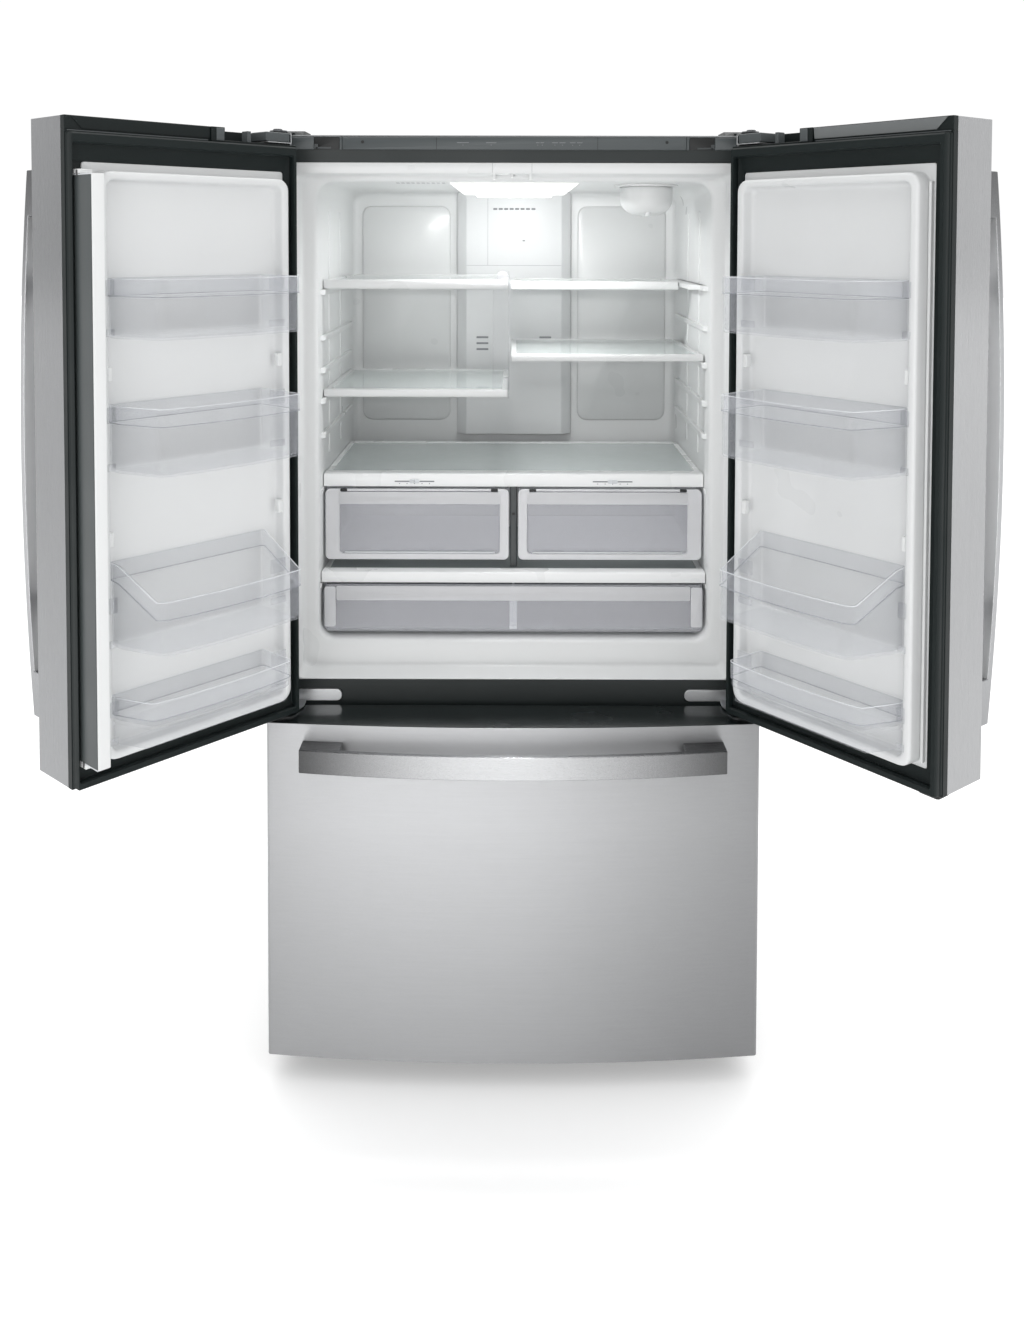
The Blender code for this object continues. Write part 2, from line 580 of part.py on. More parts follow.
def make_looks():
    return {
        "steel": finish("stainless_steel", (0.62, 0.63, 0.64), 0.32, 1.0),
        "handle": finish("handle_steel", (0.48, 0.49, 0.50), 0.28, 1.0),
        "case": finish("painted_case", (0.30, 0.31, 0.32), 0.45, 0.4),
        "zinc": finish("galvanised_sheet", (0.55, 0.56, 0.57), 0.45, 0.9),
        "hinge": finish("hinge_metal", (0.62, 0.63, 0.64), 0.35, 0.8),
        "dark": finish("dark_plastic", (0.035, 0.040, 0.040), 0.42),
        "black": finish("gloss_black", (0.010, 0.012, 0.012), 0.15),
        "panel": finish("control_plastic", (0.12, 0.13, 0.135), 0.38),
        "flipper": finish("flipper_face", (0.085, 0.095, 0.095), 0.40),
        "liner": finish("white_liner", (0.82, 0.83, 0.83), 0.32),
        "lens": finish("light_lens", (0.98, 0.98, 0.98), 0.20),
        "shelf": finish("shelf_frame", (0.86, 0.87, 0.88), 0.25),
        "slider": finish("slider_plastic", (0.70, 0.72, 0.74), 0.35),
        "clear": finish("clear_plastic", (0.86, 0.88, 0.90), 0.08, 0.0, 0.35),
        "basket": finish("basket_plastic", (0.78, 0.80, 0.82), 0.30),
        "rubber": finish("gasket_rubber", (0.045, 0.048, 0.050), 0.60),
        "roller": finish("roller_nylon", (0.08, 0.08, 0.08), 0.50),
    }


def main():
    clear_scene()
    looks = make_looks()
    cabinet = pivot_empty("refrigerator", (0.0, 0.0, 0.0))
    cabinet.location.y = FRONT_SHIFT
    make_cabinet(cabinet, looks)
    make_liners(cabinet, looks)
    make_base(cabinet, looks)
    make_interior(cabinet, looks)
    make_hinges(cabinet, looks)
    left_door = make_door("left", False, cabinet, looks)
    make_door("right", True, cabinet, looks)
    make_flipper(left_door, looks)
    make_freezer(cabinet, looks)


main()
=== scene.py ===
"""Looks for a french door refrigerator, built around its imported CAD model.

Shapes are drawn with everything shut, in metres: x runs across, y runs back from the cabinet's front
face, z runs up from the floor. A Place turns them into the row frame and names the body they ride on.
"""

import json
import math

import bmesh
import bpy
from mathutils import Matrix, Vector


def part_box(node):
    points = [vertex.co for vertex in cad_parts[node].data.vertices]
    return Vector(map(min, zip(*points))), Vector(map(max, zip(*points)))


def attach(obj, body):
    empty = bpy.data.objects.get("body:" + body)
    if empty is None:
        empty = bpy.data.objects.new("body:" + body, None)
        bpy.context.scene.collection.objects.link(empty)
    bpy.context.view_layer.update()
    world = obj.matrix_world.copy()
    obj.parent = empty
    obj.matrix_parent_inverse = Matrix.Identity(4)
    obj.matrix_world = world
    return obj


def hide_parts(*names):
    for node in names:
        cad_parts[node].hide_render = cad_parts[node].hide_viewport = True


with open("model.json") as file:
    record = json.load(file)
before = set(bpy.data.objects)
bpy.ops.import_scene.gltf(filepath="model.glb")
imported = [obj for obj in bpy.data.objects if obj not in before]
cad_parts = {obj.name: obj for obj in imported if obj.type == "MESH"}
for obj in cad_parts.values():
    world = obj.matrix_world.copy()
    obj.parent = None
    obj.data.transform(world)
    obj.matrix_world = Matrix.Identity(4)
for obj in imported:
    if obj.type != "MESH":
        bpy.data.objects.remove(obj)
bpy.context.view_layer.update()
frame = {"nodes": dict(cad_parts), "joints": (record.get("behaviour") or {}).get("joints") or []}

# Sizes shared with the CAD model
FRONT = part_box("front_frame")[0][1]
CASE_HALF = 0.454
CASE_DEPTH = 0.745
CASE_TOP = 1.757
DOOR_LOW, DOOR_TOP = 0.682, 1.755
DOOR_X = (-0.454, -0.0038)
DRAWER_LOW, DRAWER_TOP = 0.046, 0.673
DOOR_BULGE, DRAWER_BULGE = 0.0362, 0.025
EDGE_OUT = 0.098
DOOR_REAR, DOOR_FLANGE, DOOR_CORNER = -0.037, -0.024, 0.0026
HANDLE_MIDDLE, HANDLE_HALF = 1.219, 0.454
HANDLE_STEPS = 32
SKIN = 0.002
PIVOT = (-0.4355, -0.0535)
BIN_SIDES = (-0.3645, -0.0642)
BINS = (
    (1.402, 1.498, 0.104, 0.115, 0.0),
    (1.187, 1.295, 0.104, 0.115, 0.0),
    (0.903, 0.99, 0.104, 0.114, 0.05),
    (0.745, 0.822, 0.074, 0.083, 0.0),
)
TOE_TOP, TOE_DEPTH = 0.776, 0.06
SHELF_HALF, SHELF_FRONT, SHELF_BACK = 0.3815, 0.128, 0.52
PAN_HALF = 0.378
POCKET_FLOOR = 1.7325


# Shapes

AXES = {
    "x": lambda a, b, along: (along, a, b),
    "y": lambda a, b, along: (a, along, b),
    "z": lambda a, b, along: (a, b, along),
}


def prism(outline, low, high, axis="z"):
    """The outline, given as pairs across the axis, run along the axis from low to high."""
    place = AXES[axis]
    return loft([[place(a, b, along) for a, b in outline] for along in (low, high)])


def box(x0, x1, y0, y1, z0, z1):
    return prism([(x0, y0), (x1, y0), (x1, y1), (x0, y1)], z0, z1)


def circle(centre, radius, steps=24):
    turns = [2.0 * math.pi * step / steps for step in range(steps)]
    return [(centre[0] + radius * math.cos(t), centre[1] + radius * math.sin(t)) for t in turns]


def rod(centre, radius, low, high, axis="z", steps=24):
    return prism(circle(centre, radius, steps), low, high, axis)


def loft(rings, capped=True, looped=False):
    """Skins rings of points, each with the same number, and caps both ends or joins last to first."""
    shape = bmesh.new()
    made = [[shape.verts.new(point) for point in ring] for ring in rings]
    pairs = list(zip(made, made[1:]))
    if looped:
        pairs.append((made[-1], made[0]))
    for low, high in pairs:
        for step in range(len(low)):
            after = (step + 1) % len(low)
            shape.faces.new((low[step], low[after], high[after], high[step]))
    if capped and not looped:
        shape.faces.new(made[0][::-1])
        shape.faces.new(made[-1])
    bmesh.ops.recalc_face_normals(shape, faces=shape.faces)
    return shape


def turned(profile, centre, axis="z", steps=48):
    """A profile of radius and height pairs turned about the axis, closed at both ends."""
    place = AXES[axis]
    rings = [[place(a, b, height) for a, b in circle(centre, radius, steps)] for radius, height in profile]
    return loft(rings)


def cut(shape, point, outward):
    """Takes away what lies beyond the plane and closes the opening."""
    whole = shape.verts[:] + shape.edges[:] + shape.faces[:]
    bmesh.ops.bisect_plane(shape, geom=whole, plane_co=point, plane_no=outward, clear_outer=True)
    bmesh.ops.holes_fill(shape, edges=shape.edges[:])


def rounded_rect(sides, radius, steps=6):
    """(x0, x1, z0, z1) with round corners, counter-clockwise from the right side's foot."""
    x0, x1, z0, z1 = sides
    corners = ((x1 - radius, z0 + radius, -90), (x1 - radius, z1 - radius, 0),
               (x0 + radius, z1 - radius, 90), (x0 + radius, z0 + radius, 180))
    points = []
    for x, z, start in corners:
        for step in range(steps + 1):
            turn = math.radians(start + 90.0 * step / steps)
            points.append((x + radius * math.cos(turn), z + radius * math.sin(turn)))
    return points


def shrunk(sides, by):
    x0, x1, z0, z1 = sides
    return x0 + by, x1 - by, z0 + by, z1 - by


def basin(sections, looped=False):
    """A loft of upright rounded rectangles: each section is (sides, corner radius, y)."""
    rings = []
    for sides, radius, y in sections:
        rings.append([(x, y, z) for x, z in rounded_rect(sides, radius)])
    return loft(rings, looped=looped)


def nested(sides, *steps):
    """Sections for a basin: each step says how far the sides move in, their corner radius and y."""
    return [(shrunk(sides, by), radius, y) for by, radius, y in steps]


def slab(sides, radius, y0, y1, edge=0.001):
    """A rounded rectangle facing the front, with its front edge eased."""
    return basin(nested(sides, (0.0, radius, y1), (0.0, radius, y0 + edge), (edge, radius, y0)))


def joined(*shapes):
    """All the shapes in one mesh, each still its own closed skin."""
    whole = bmesh.new()
    for shape in shapes:
        mesh = bpy.data.meshes.new("part")
        shape.to_mesh(mesh)
        shape.free()
        whole.from_mesh(mesh)
        bpy.data.meshes.remove(mesh)
    return whole


def inset_outline(outline, distance):
    """The same convex outline, counter-clockwise, with every side moved in by the distance."""
    moved = []
    count = len(outline)
    for number, (px, py) in enumerate(outline):
        ax, ay = outline[number - 1]
        bx, by = outline[(number + 1) % count]
        before = math.atan2(py - ay, px - ax)
        after = math.atan2(by - py, bx - px)
        turn = math.remainder(after - before, 2.0 * math.pi)
        middle = before + turn / 2.0 + math.pi / 2.0
        reach = distance / math.cos(turn / 2.0)
        moved.append((px + reach * math.cos(middle), py + reach * math.sin(middle)))
    return moved


def tub(plan, heights):
    """An open tub: for each pair, the plan moved in by the first number at the second's height."""
    return loft([[(x, y, z) for x, y in inset_outline(plan, inset)] for inset, z in heights])


def softened(outline, radius, steps=5):
    """The outline with an arc in place of each corner that turns more than 20 degrees."""
    points = []
    count = len(outline)
    radii = radius if isinstance(radius, dict) else {}
    for number, (px, py) in enumerate(outline):
        before = Vector(outline[number - 1]) - Vector((px, py))
        after = Vector(outline[(number + 1) % count]) - Vector((px, py))
        turn = math.pi - before.angle(after)
        size = radii.get(number, 0.008) if radii else radius
        if turn < math.radians(20.0):
            points.append((px, py))
            continue
        reach = size * math.tan(turn / 2.0)
        start = Vector((px, py)) + before.normalized() * reach
        end = Vector((px, py)) + after.normalized() * reach
        for step in range(steps + 1):
            along = step / steps
            here = start.lerp(Vector((px, py)), along).lerp(Vector((px, py)).lerp(end, along), along)
            points.append(tuple(here))
    return points


def soft_rectangle(x0, x1, y0, y1, radius):
    return softened([(x0, y0), (x1, y0), (x1, y1), (x0, y1)], radius)


# Placing

def opened(joint_name):
    """How far the joint's child is turned, at rest, from where it is drawn."""
    joint = next(item for item in frame["joints"] if item["name"] == joint_name)
    pivot = Vector(joint["pos_m"])
    turn = Matrix.Rotation(-math.radians(joint["range_deg"][0]), 4, Vector(joint["axis"]))
    return Matrix.Translation(pivot) @ turn @ Matrix.Translation(-pivot)


def heading(place):
    return place.matrix.to_euler().z


class Place:
    """Where a group of pieces is drawn and the body that carries it."""

    def __init__(self, body, turn=None, mirrored=False):
        self.body = body
        self.matrix = (turn or Matrix.Identity(4)) @ Matrix.Translation((0.0, FRONT, 0.0))
        self.mirrored = mirrored


def add(name, shape, place, look, bevel=0.0, segments=2, replaces=(), angle=38.0):
    """Makes the shape an object that rides on the place's body, and hides the CAD nodes it replaces."""
    if place.mirrored:
        bmesh.ops.scale(shape, verts=shape.verts, vec=(-1.0, 1.0, 1.0))
        bmesh.ops.reverse_faces(shape, faces=shape.faces)
    bmesh.ops.transform(shape, matrix=place.matrix, verts=shape.verts)
    mesh = bpy.data.meshes.new(name)
    shape.to_mesh(mesh)
    shape.free()
    mesh.materials.append(look.material)
    mesh.shade_smooth()
    mesh.set_sharp_from_angle(angle=math.radians(angle))
    made = bpy.data.objects.new(name, mesh)
    bpy.context.collection.objects.link(made)
    if bevel:
        change = made.modifiers.new("bevel", "BEVEL")
        change.width = bevel
        change.segments = segments
        change.limit_method = "ANGLE"
        change.angle_limit = math.radians(angle)
        change.harden_normals = True
    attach(made, place.body)
    if replaces:
        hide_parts(*replaces)
    return made


# Materials

class Look:
    """A Principled material with helpers for its procedural detail; it keeps the name of a record slot, which
    nothing here reads.
    """

    def __init__(self, name, slot, colour, roughness, metallic=0.0, turn=0.0):
        self.slot = slot
        self.turn = turn
        self.material = bpy.data.materials.new(name)
        self.material.use_nodes = True
        self.tree = self.material.node_tree
        self.shader = self.tree.nodes["Principled BSDF"]
        self.colour = colour
        self.set("Base Color", (*colour, 1.0))
        self.set("Roughness", roughness)
        self.set("Metallic", metallic)

    def set(self, socket, value):
        self.shader.inputs[socket].default_value = value

    def node(self, kind, **inputs):
        made = self.tree.nodes.new(kind)
        for socket, value in inputs.items():
            socket = made.inputs[socket.replace("_", " ")]
            if hasattr(value, "is_output"):
                self.tree.links.new(value, socket)
            else:
                socket.default_value = value
        return made

    def position(self, lengths=(1.0, 1.0, 1.0)):
        where = self.node("ShaderNodeTexCoord")
        mapping = self.node("ShaderNodeMapping", Vector=where.outputs["Object"])
        mapping.vector_type = "TEXTURE"
        mapping.inputs["Rotation"].default_value = (0.0, 0.0, self.turn)
        mapping.inputs["Scale"].default_value = lengths
        return mapping.outputs["Vector"]

    def noise(self, scale, detail=3.0, lengths=(1.0, 1.0, 1.0)):
        """Noise whose features are stretched by lengths along x, y and z."""
        made = self.node("ShaderNodeTexNoise", Vector=self.position(lengths), Scale=scale, Detail=detail)
        return made.outputs["Fac"]

    def between(self, factor, low, high, start=0.3, end=0.7):
        limits = {"From_Min": start, "From_Max": end, "To_Min": low, "To_Max": high}
        return self.node("ShaderNodeMapRange", Value=factor, **limits).outputs["Result"]

    def link(self, output, socket):
        self.tree.links.new(output, self.shader.inputs[socket])

    def vary_colour(self, factor, spread):
        """The colour, a little darker and a little lighter with the factor."""
        mix = self.node("ShaderNodeMix")
        mix.data_type = "RGBA"
        for socket, level in ((mix.inputs[6], 1.0 - spread), (mix.inputs[7], 1.0 + spread)):
            socket.default_value = (*[min(part * level, 1.0) for part in self.colour], 1.0)
        self.tree.links.new(factor, mix.inputs[0])
        self.tree.links.new(mix.outputs[2], self.shader.inputs["Base Color"])

    def paint_light_along(self, axis, start, end, levels):
        """Paints light and shade into the colour: multiplies it by levels spread evenly along an axis of the
        object, smoothly joined.
        """
        where = self.node("ShaderNodeTexCoord")
        parts = self.node("ShaderNodeSeparateXYZ", Vector=where.outputs["Object"])
        share = self.between(parts.outputs[axis], 0.0, 1.0, start, end)
        ramp = self.node("ShaderNodeValToRGB", Fac=share)
        ramp.color_ramp.interpolation = "B_SPLINE"
        stops = ramp.color_ramp.elements
        while len(stops) < len(levels):
            stops.new(0.5)
        for number, level in enumerate(levels):
            stops[number].position = number / (len(levels) - 1)
            stops[number].color = (level, level, level, 1.0)
        mix = self.node("ShaderNodeMix")
        mix.data_type = "RGBA"
        mix.blend_type = "MULTIPLY"
        mix.inputs[0].default_value = 1.0
        before = self.shader.inputs["Base Color"].links[0].from_socket
        self.tree.links.new(before, mix.inputs[6])
        self.tree.links.new(ramp.outputs["Color"], mix.inputs[7])
        self.tree.links.new(mix.outputs[2], self.shader.inputs["Base Color"])

    def bump(self, height, strength, distance):
        made = self.node("ShaderNodeBump", Height=height, Strength=strength, Distance=distance)
        self.link(made.outputs["Normal"], "Normal")


def moulded(name, slot, colour, roughness, grain=0.12, coat=0.0, turn=0.0, specular=0.5):
    """Moulded plastic: fine surface grain, and slow changes of colour and gloss."""
    look = Look(name, slot, colour, roughness, turn=turn)
    look.set("Specular IOR Level", specular)
    slow = look.noise(7.0, 2.0)
    look.vary_colour(slow, 0.025)
    look.link(look.between(slow, roughness - 0.05, roughness + 0.06), "Roughness")
    look.bump(look.noise(1400.0, 2.0), grain, 0.0004)
    look.set("Coat Weight", coat)
    return look


def brushed(name, slot, colour, roughness, lengths, turn=0.0):
    """Brushed metal: fine lines along the stretched direction, in the gloss, the colour and the relief."""
    look = Look(name, slot, colour, roughness, 1.0, turn)
    fine = look.noise(2600.0, 3.0, lengths)
    broad = look.noise(260.0, 4.0, lengths)
    look.vary_colour(broad, 0.035)
    look.link(look.between(fine, roughness - 0.07, roughness + 0.09), "Roughness")
    look.bump(fine, 0.06, 0.0002)
    look.set("Anisotropic", 0.85)
    if lengths[0] > lengths[2]:
        look.set("Anisotropic Rotation", 0.25)
    return look


def clear(name, slot, colour, low, high, roughness=0.06):
    """Clear plastic: nearly invisible square on, and denser and brighter where it turns away."""
    look = Look(name, slot, colour, roughness)
    facing = look.node("ShaderNodeLayerWeight", Blend=0.38)
    speck = look.noise(40.0, 2.0)
    look.link(look.between(facing.outputs["Facing"], low, high, 0.0, 1.0), "Alpha")
    look.vary_colour(speck, 0.03)
    look.link(look.between(speck, roughness, roughness + 0.05), "Roughness")
    look.set("IOR", 1.49)
    return look


def galvanised(name, slot):
    look = Look(name, slot, (0.56, 0.57, 0.58), 0.42, 0.9)
    cells = look.node("ShaderNodeTexVoronoi", Vector=look.position(), Scale=90.0)
    look.vary_colour(cells.outputs["Distance"], 0.12)
    look.link(look.between(cells.outputs["Distance"], 0.36, 0.52), "Roughness")
    look.bump(look.noise(600.0), 0.05, 0.0003)
    return look


def glowing(name, slot, strength):
    """A lit white lens with a fine speckle."""
    look = Look(name, slot, (0.97, 0.97, 0.96), 0.25)
    speck = look.noise(500.0)
    look.bump(speck, 0.08, 0.0003)
    look.vary_colour(speck, 0.01)
    look.set("Emission Color", (1.0, 0.99, 0.97, 1.0))
    look.set("Emission Strength", strength)
    return look


LEFT = Place("left_door", opened("left_door_hinge"))
RIGHT = Place("right_door", opened("right_door_hinge"), mirrored=True)
CABINET = Place("cabinet")
MIRROR = Place("cabinet", mirrored=True)
DRAWER = Place("freezer_drawer")
CABINET_SIDES = (("left", CABINET), ("right", MIRROR))

ALONG_X = (90.0, 1.0, 1.0)
ALONG_Z = (1.0, 1.0, 90.0)
HANDLE_ENDS = (HANDLE_MIDDLE - HANDLE_HALF, HANDLE_MIDDLE + HANDLE_HALF)
STEEL_COLOUR = (0.535, 0.54, 0.55)
drawer_steel = brushed("drawer_steel", "stainless_steel", STEEL_COLOUR, 0.42, ALONG_X)
# Painted reflection: the drawer front is a little darker at its left end, much darker towards its right end,
# darker towards the bottom and lighter at the top.
drawer_steel.paint_light_along("X", -CASE_HALF, CASE_HALF, (0.9, 1.0, 1.0, 0.93, 0.64))
drawer_steel.paint_light_along("Z", DRAWER_LOW, DRAWER_TOP, (0.74, 0.8, 0.92, 1.0, 1.24))
# Painted shade and reflection: the doors are the drawer's stainless steel with darker base colours, the left
# door darkest; the left door is painted darkest in its middle and lighter at the top, the right door darker
# low down and lighter at the top.
left_steel = brushed("left_door_steel", "stainless_steel", (0.405, 0.41, 0.42), 0.3, ALONG_Z, heading(LEFT))
left_steel.paint_light_along("Z", DOOR_LOW, DOOR_TOP, (0.76, 0.7, 0.62, 0.74, 1.06))
right_steel = brushed("right_door_steel", "stainless_steel", (0.475, 0.48, 0.488), 0.3, ALONG_Z,
                      heading(RIGHT))
right_steel.paint_light_along("Z", DOOR_LOW, DOOR_TOP, (0.78, 0.76, 0.8, 0.95, 1.05))
# Painted reflection and shade: the drawer handle is painted dark towards both ends and lightest near the
# middle.
handle_steel = brushed("handle_steel", "handle_steel", (0.56, 0.565, 0.575), 0.27, ALONG_X)
handle_steel.paint_light_along("X", -0.39, 0.39, (0.07, 0.5, 0.86, 1.0, 0.84, 0.48, 0.1))
# Painted shade: the door handles are a darker copy of the handle steel, painted dark at the top end and a
# little darker at the bottom end.
door_handle_steel = brushed("door_handle_steel", "handle_steel", (0.4, 0.405, 0.415), 0.26, ALONG_Z)
door_handle_steel.paint_light_along("Z", *HANDLE_ENDS, (0.7, 0.96, 1.05, 1.08, 1.05, 0.94, 0.3))
# Painted reflection: a much lighter copy of the handle steel for a strip on each door handle's inner face,
# painted lighter still along most of it and dark at its top end.
handle_painted_reflection = brushed("handle_painted_reflection", "handle_steel", (0.74, 0.745, 0.75), 0.42, ALONG_Z)
handle_painted_reflection.paint_light_along("Z", *HANDLE_ENDS, (1.3, 1.3, 1.35, 1.35, 1.35, 1.1, 0.15))
hinge_steel = brushed("hinge_plating", "hinge_metal", (0.66, 0.67, 0.68), 0.34, (8.0, 1.0, 1.0))
arm_steel = brushed("arm_steel", "hinge_metal", (0.13, 0.135, 0.14), 0.4, (8.0, 1.0, 1.0))
screw_steel = brushed("screw_steel", "hinge_metal", (0.5, 0.51, 0.52), 0.3, (4.0, 1.0, 1.0))
case_paint = moulded("case_paint", "painted_case", (0.27, 0.28, 0.285), 0.42, 0.35)
zinc = galvanised("galvanised_sheet", "galvanised_sheet")
dark = moulded("dark_plastic", "dark_plastic", (0.006, 0.01, 0.01), 0.42, 0.25, specular=0.22)
frame_dark = moulded("frame_dark", "dark_plastic", (0.015, 0.02, 0.02), 0.42, 0.25, specular=0.45)
# Black for small black parts, and painted shade where holes and slots are drawn as flat patches.
black_parts_and_hole_shade = moulded("black_parts_and_hole_shade", "dark_plastic", (0.006, 0.007, 0.007), 0.5)
strip_grey = moulded("strip_grey", "control_plastic", (0.068, 0.078, 0.081), 0.38, 0.1)
# Painted reflection: a lighter grey for the right door's cap face only.
cap_face_reflection_grey = moulded("cap_face_reflection_grey", "dark_plastic", (0.15, 0.16, 0.162), 0.34, 0.08)
icon_grey = moulded("touch_marks", "control_plastic", (0.2, 0.21, 0.22), 0.45, 0.05)
gloss_black = moulded("gloss_black", "gloss_black", (0.01, 0.0135, 0.0135), 0.24, 0.02, 0.2)
machine_black = moulded("machine_black", "gloss_black", (0.012, 0.012, 0.013), 0.38, 0.2)
flipper_grey = moulded("flipper_grey", "flipper_face", (0.056, 0.065, 0.066), 0.4, 0.15)
rubber = moulded("gasket_rubber", "gasket_rubber", (0.007, 0.0115, 0.0115), 0.55, 0.2, specular=0.22)
white = moulded("white_liner", "white_liner", (0.72, 0.73, 0.73), 0.32, 0.04, 0.1)
# Painted shade: the door liners get a darker copy of the liner white.
door_liner_shaded_white = moulded("door_liner_shaded_white", "white_liner", (0.675, 0.685, 0.688), 0.32, 0.04, 0.1)
duct_white = moulded("duct_white", "white_liner", (0.7, 0.71, 0.715), 0.36, 0.06)
# Painted light and shade: one white frame plastic, given a darker copy for the shelf frames and a lighter
# copy for the crisper and deli cover frames.
shelf_frame_shaded_white = moulded("shelf_frame_shaded_white", "shelf_frame", (0.68, 0.69, 0.69), 0.3, 0.03, 0.1)
cover_frame_lit_white = moulded("cover_frame_lit_white", "shelf_frame", (0.84, 0.85, 0.85), 0.28, 0.03, 0.1)
# Grey for seams and printed marks, and painted shade for slots drawn as flat patches.
seam_grey_and_slot_shade = moulded("seam_grey_and_slot_shade", "white_liner", (0.24, 0.25, 0.26), 0.5)
vent_grey = moulded("vent_grey", "white_liner", (0.5, 0.51, 0.52), 0.45)
post_grey = moulded("post_grey", "slider_plastic", (0.045, 0.051, 0.053), 0.42)
slider_grey = moulded("slider_grey", "slider_plastic", (0.66, 0.68, 0.7), 0.38)
basket_white = moulded("basket_plastic", "basket_plastic", (0.76, 0.78, 0.8), 0.3, 0.05)
nylon = moulded("roller_nylon", "roller_nylon", (0.055, 0.055, 0.057), 0.5)
bin_clear = clear("bin_clear", "clear_plastic", (0.62, 0.64, 0.68), 0.022, 0.34)
rim_clear = clear("bin_rim", "clear_plastic", (0.66, 0.68, 0.72), 0.08, 0.48)
# Painted shade and highlight: a darker line for the lower edge of each bin's rim band and a light line for
# its top edge.
edge_painted_shade = clear("bin_edge_shade", "clear_plastic", (0.42, 0.44, 0.49), 0.2, 0.48, 0.12)
edge_painted_highlight = clear("bin_edge_light", "clear_plastic", (0.9, 0.91, 0.94), 0.45, 0.9, 0.12)
pan_clear = clear("drawer_clear", "clear_plastic", (0.86, 0.87, 0.92), 0.19, 0.56)
frost_clear = clear("drawer_frosted", "clear_plastic", (0.92, 0.925, 0.945), 0.56, 0.9, 0.22)
glass = clear("shelf_glass", "shelf_frame", (0.72, 0.78, 0.77), 0.14, 0.7, 0.03)
lens_white = glowing("lens_white", "light_lens", 0.55)
lens_glow = glowing("lens_glow", "light_lens", 3.0)


# Outlines shared by the doors and the drawer front

def front_y(x, bulge):
    radius = (CASE_HALF ** 2 + bulge ** 2) / (2.0 * bulge)
    return -(EDGE_OUT + bulge) + radius - math.sqrt(radius ** 2 - x ** 2)


def front_profile(x0, x1, bulge, rear, inset, corner, steps=28):
    """From the rear of the x0 side, round the bowed front, to the rear of the x1 side."""
    points = [(x0 + inset, rear)]
    bend = max(corner - inset, 0.001)
    left, right = x0 + inset + bend, x1 - inset - bend
    arc = 6
    for step in range(arc):
        angle = math.radians(180.0 + 90.0 * step / arc)
        middle = front_y(left, bulge) + inset + bend
        points.append((left + bend * math.cos(angle), middle + bend * math.sin(angle)))
    for step in range(steps + 1):
        x = left + (right - left) * step / steps
        points.append((x, front_y(x, bulge) + inset))
    for step in range(arc):
        angle = math.radians(270.0 + 90.0 * (step + 1) / arc)
        middle = front_y(right, bulge) + inset + bend
        points.append((right + bend * math.cos(angle), middle + bend * math.sin(angle)))
    points.append((x1 - inset, rear))
    return points


def skin_outline(x0, x1, bulge, corner):
    outside = front_profile(x0, x1, bulge, DOOR_REAR, 0.0, corner)
    inside = front_profile(x0, x1, bulge, DOOR_REAR, SKIN, corner)
    return outside + inside[::-1]


def core_outline(x0, x1, bulge, corner, flange):
    step = DOOR_REAR + 0.0003
    inside = front_profile(x0, x1, bulge, step, SKIN + 0.0002, corner)
    return inside + [(x1, step), (x1, flange), (x0, flange), (x0, step)]


def handle_outline(half, end_out, middle_out, face, steps=HANDLE_STEPS):
    """Pairs of (distance along, distance out) of a bowed bar on two end posts."""
    thick, post = 0.012, 0.075

    def bow(along):
        return middle_out - (middle_out - end_out) * (along / half) ** 2

    inside = half - post
    outer = [-half + 2.0 * half * step / steps for step in range(steps + 1)]
    inner = [inside - 2.0 * inside * step / steps for step in range(steps + 1)]
    points = [(-half, face(-half))] + [(along, bow(along)) for along in outer]
    points += [(half, face(half)), (inside, face(inside))]
    points += [(along, bow(along) - thick) for along in inner]
    return points + [(-inside, face(-inside))]


# Cabinet

def make_case():
    half, top, sheet = CASE_HALF, CASE_TOP, 0.003
    outer = [(-half, 0.06)]
    for corner_x, start in ((-half, 180.0), (half, 90.0)):
        for step in range(5):
            turn = math.radians(start - 90.0 * step / 4.0)
            middle = corner_x - math.copysign(0.004, corner_x)
            outer.append((middle + 0.004 * math.cos(turn), top - 0.004 + 0.004 * math.sin(turn)))
    outer.append((half, 0.06))
    wrap = outer + [(half - sheet, 0.06), (half - sheet, top - sheet), (-half + sheet, top - sheet),
                    (-half + sheet, 0.06)]
    add("cabinet_wrap", prism(wrap, 0.0, CASE_DEPTH - sheet, "y"), CABINET, case_paint, 0.0012,
        replaces=["cabinet_shell"], angle=50.0)

    back = CASE_DEPTH - sheet + 0.0004
    panel = [box(-half + 0.001, half - 0.001, back, CASE_DEPTH, 0.3005, top - 0.001)]
    for x in (-0.215, 0.215):
        for z in (0.55, 0.98, 1.41):
            raised = (x - 0.165, x + 0.165, z - 0.165, z + 0.165)
            panel.append(basin(nested(
                raised, (0.0, 0.03, CASE_DEPTH - 0.001), (0.004, 0.028, CASE_DEPTH + 0.0025),
                (0.03, 0.02, CASE_DEPTH + 0.0025), (0.034, 0.018, CASE_DEPTH + 0.0005))))
    add("back_sheet", joined(*panel), CABINET, zinc, replaces=["back_panel"], angle=20.0)
    slats = [louvre(x, 0.095 + 0.021 * row) for x in (-0.3, -0.18, -0.06, 0.06, 0.18, 0.3)
             for row in range(9)]
    cover = box(-0.43, 0.43, back, CASE_DEPTH, 0.072, 0.2995)
    add("machine_cover_sheet", joined(cover, *slats), CABINET, zinc, replaces=["machine_cover"], angle=20.0)
    heads = [screw_head(x, CASE_DEPTH, z) for x in (-0.44, 0.44) for z in (0.36, 0.72, 1.08, 1.44, 1.73)]
    heads += [screw_head(x, CASE_DEPTH, z) for x in (-0.41, 0.0, 0.41) for z in (0.082, 0.29)]
    add("back_screws", joined(*heads), CABINET, screw_steel)


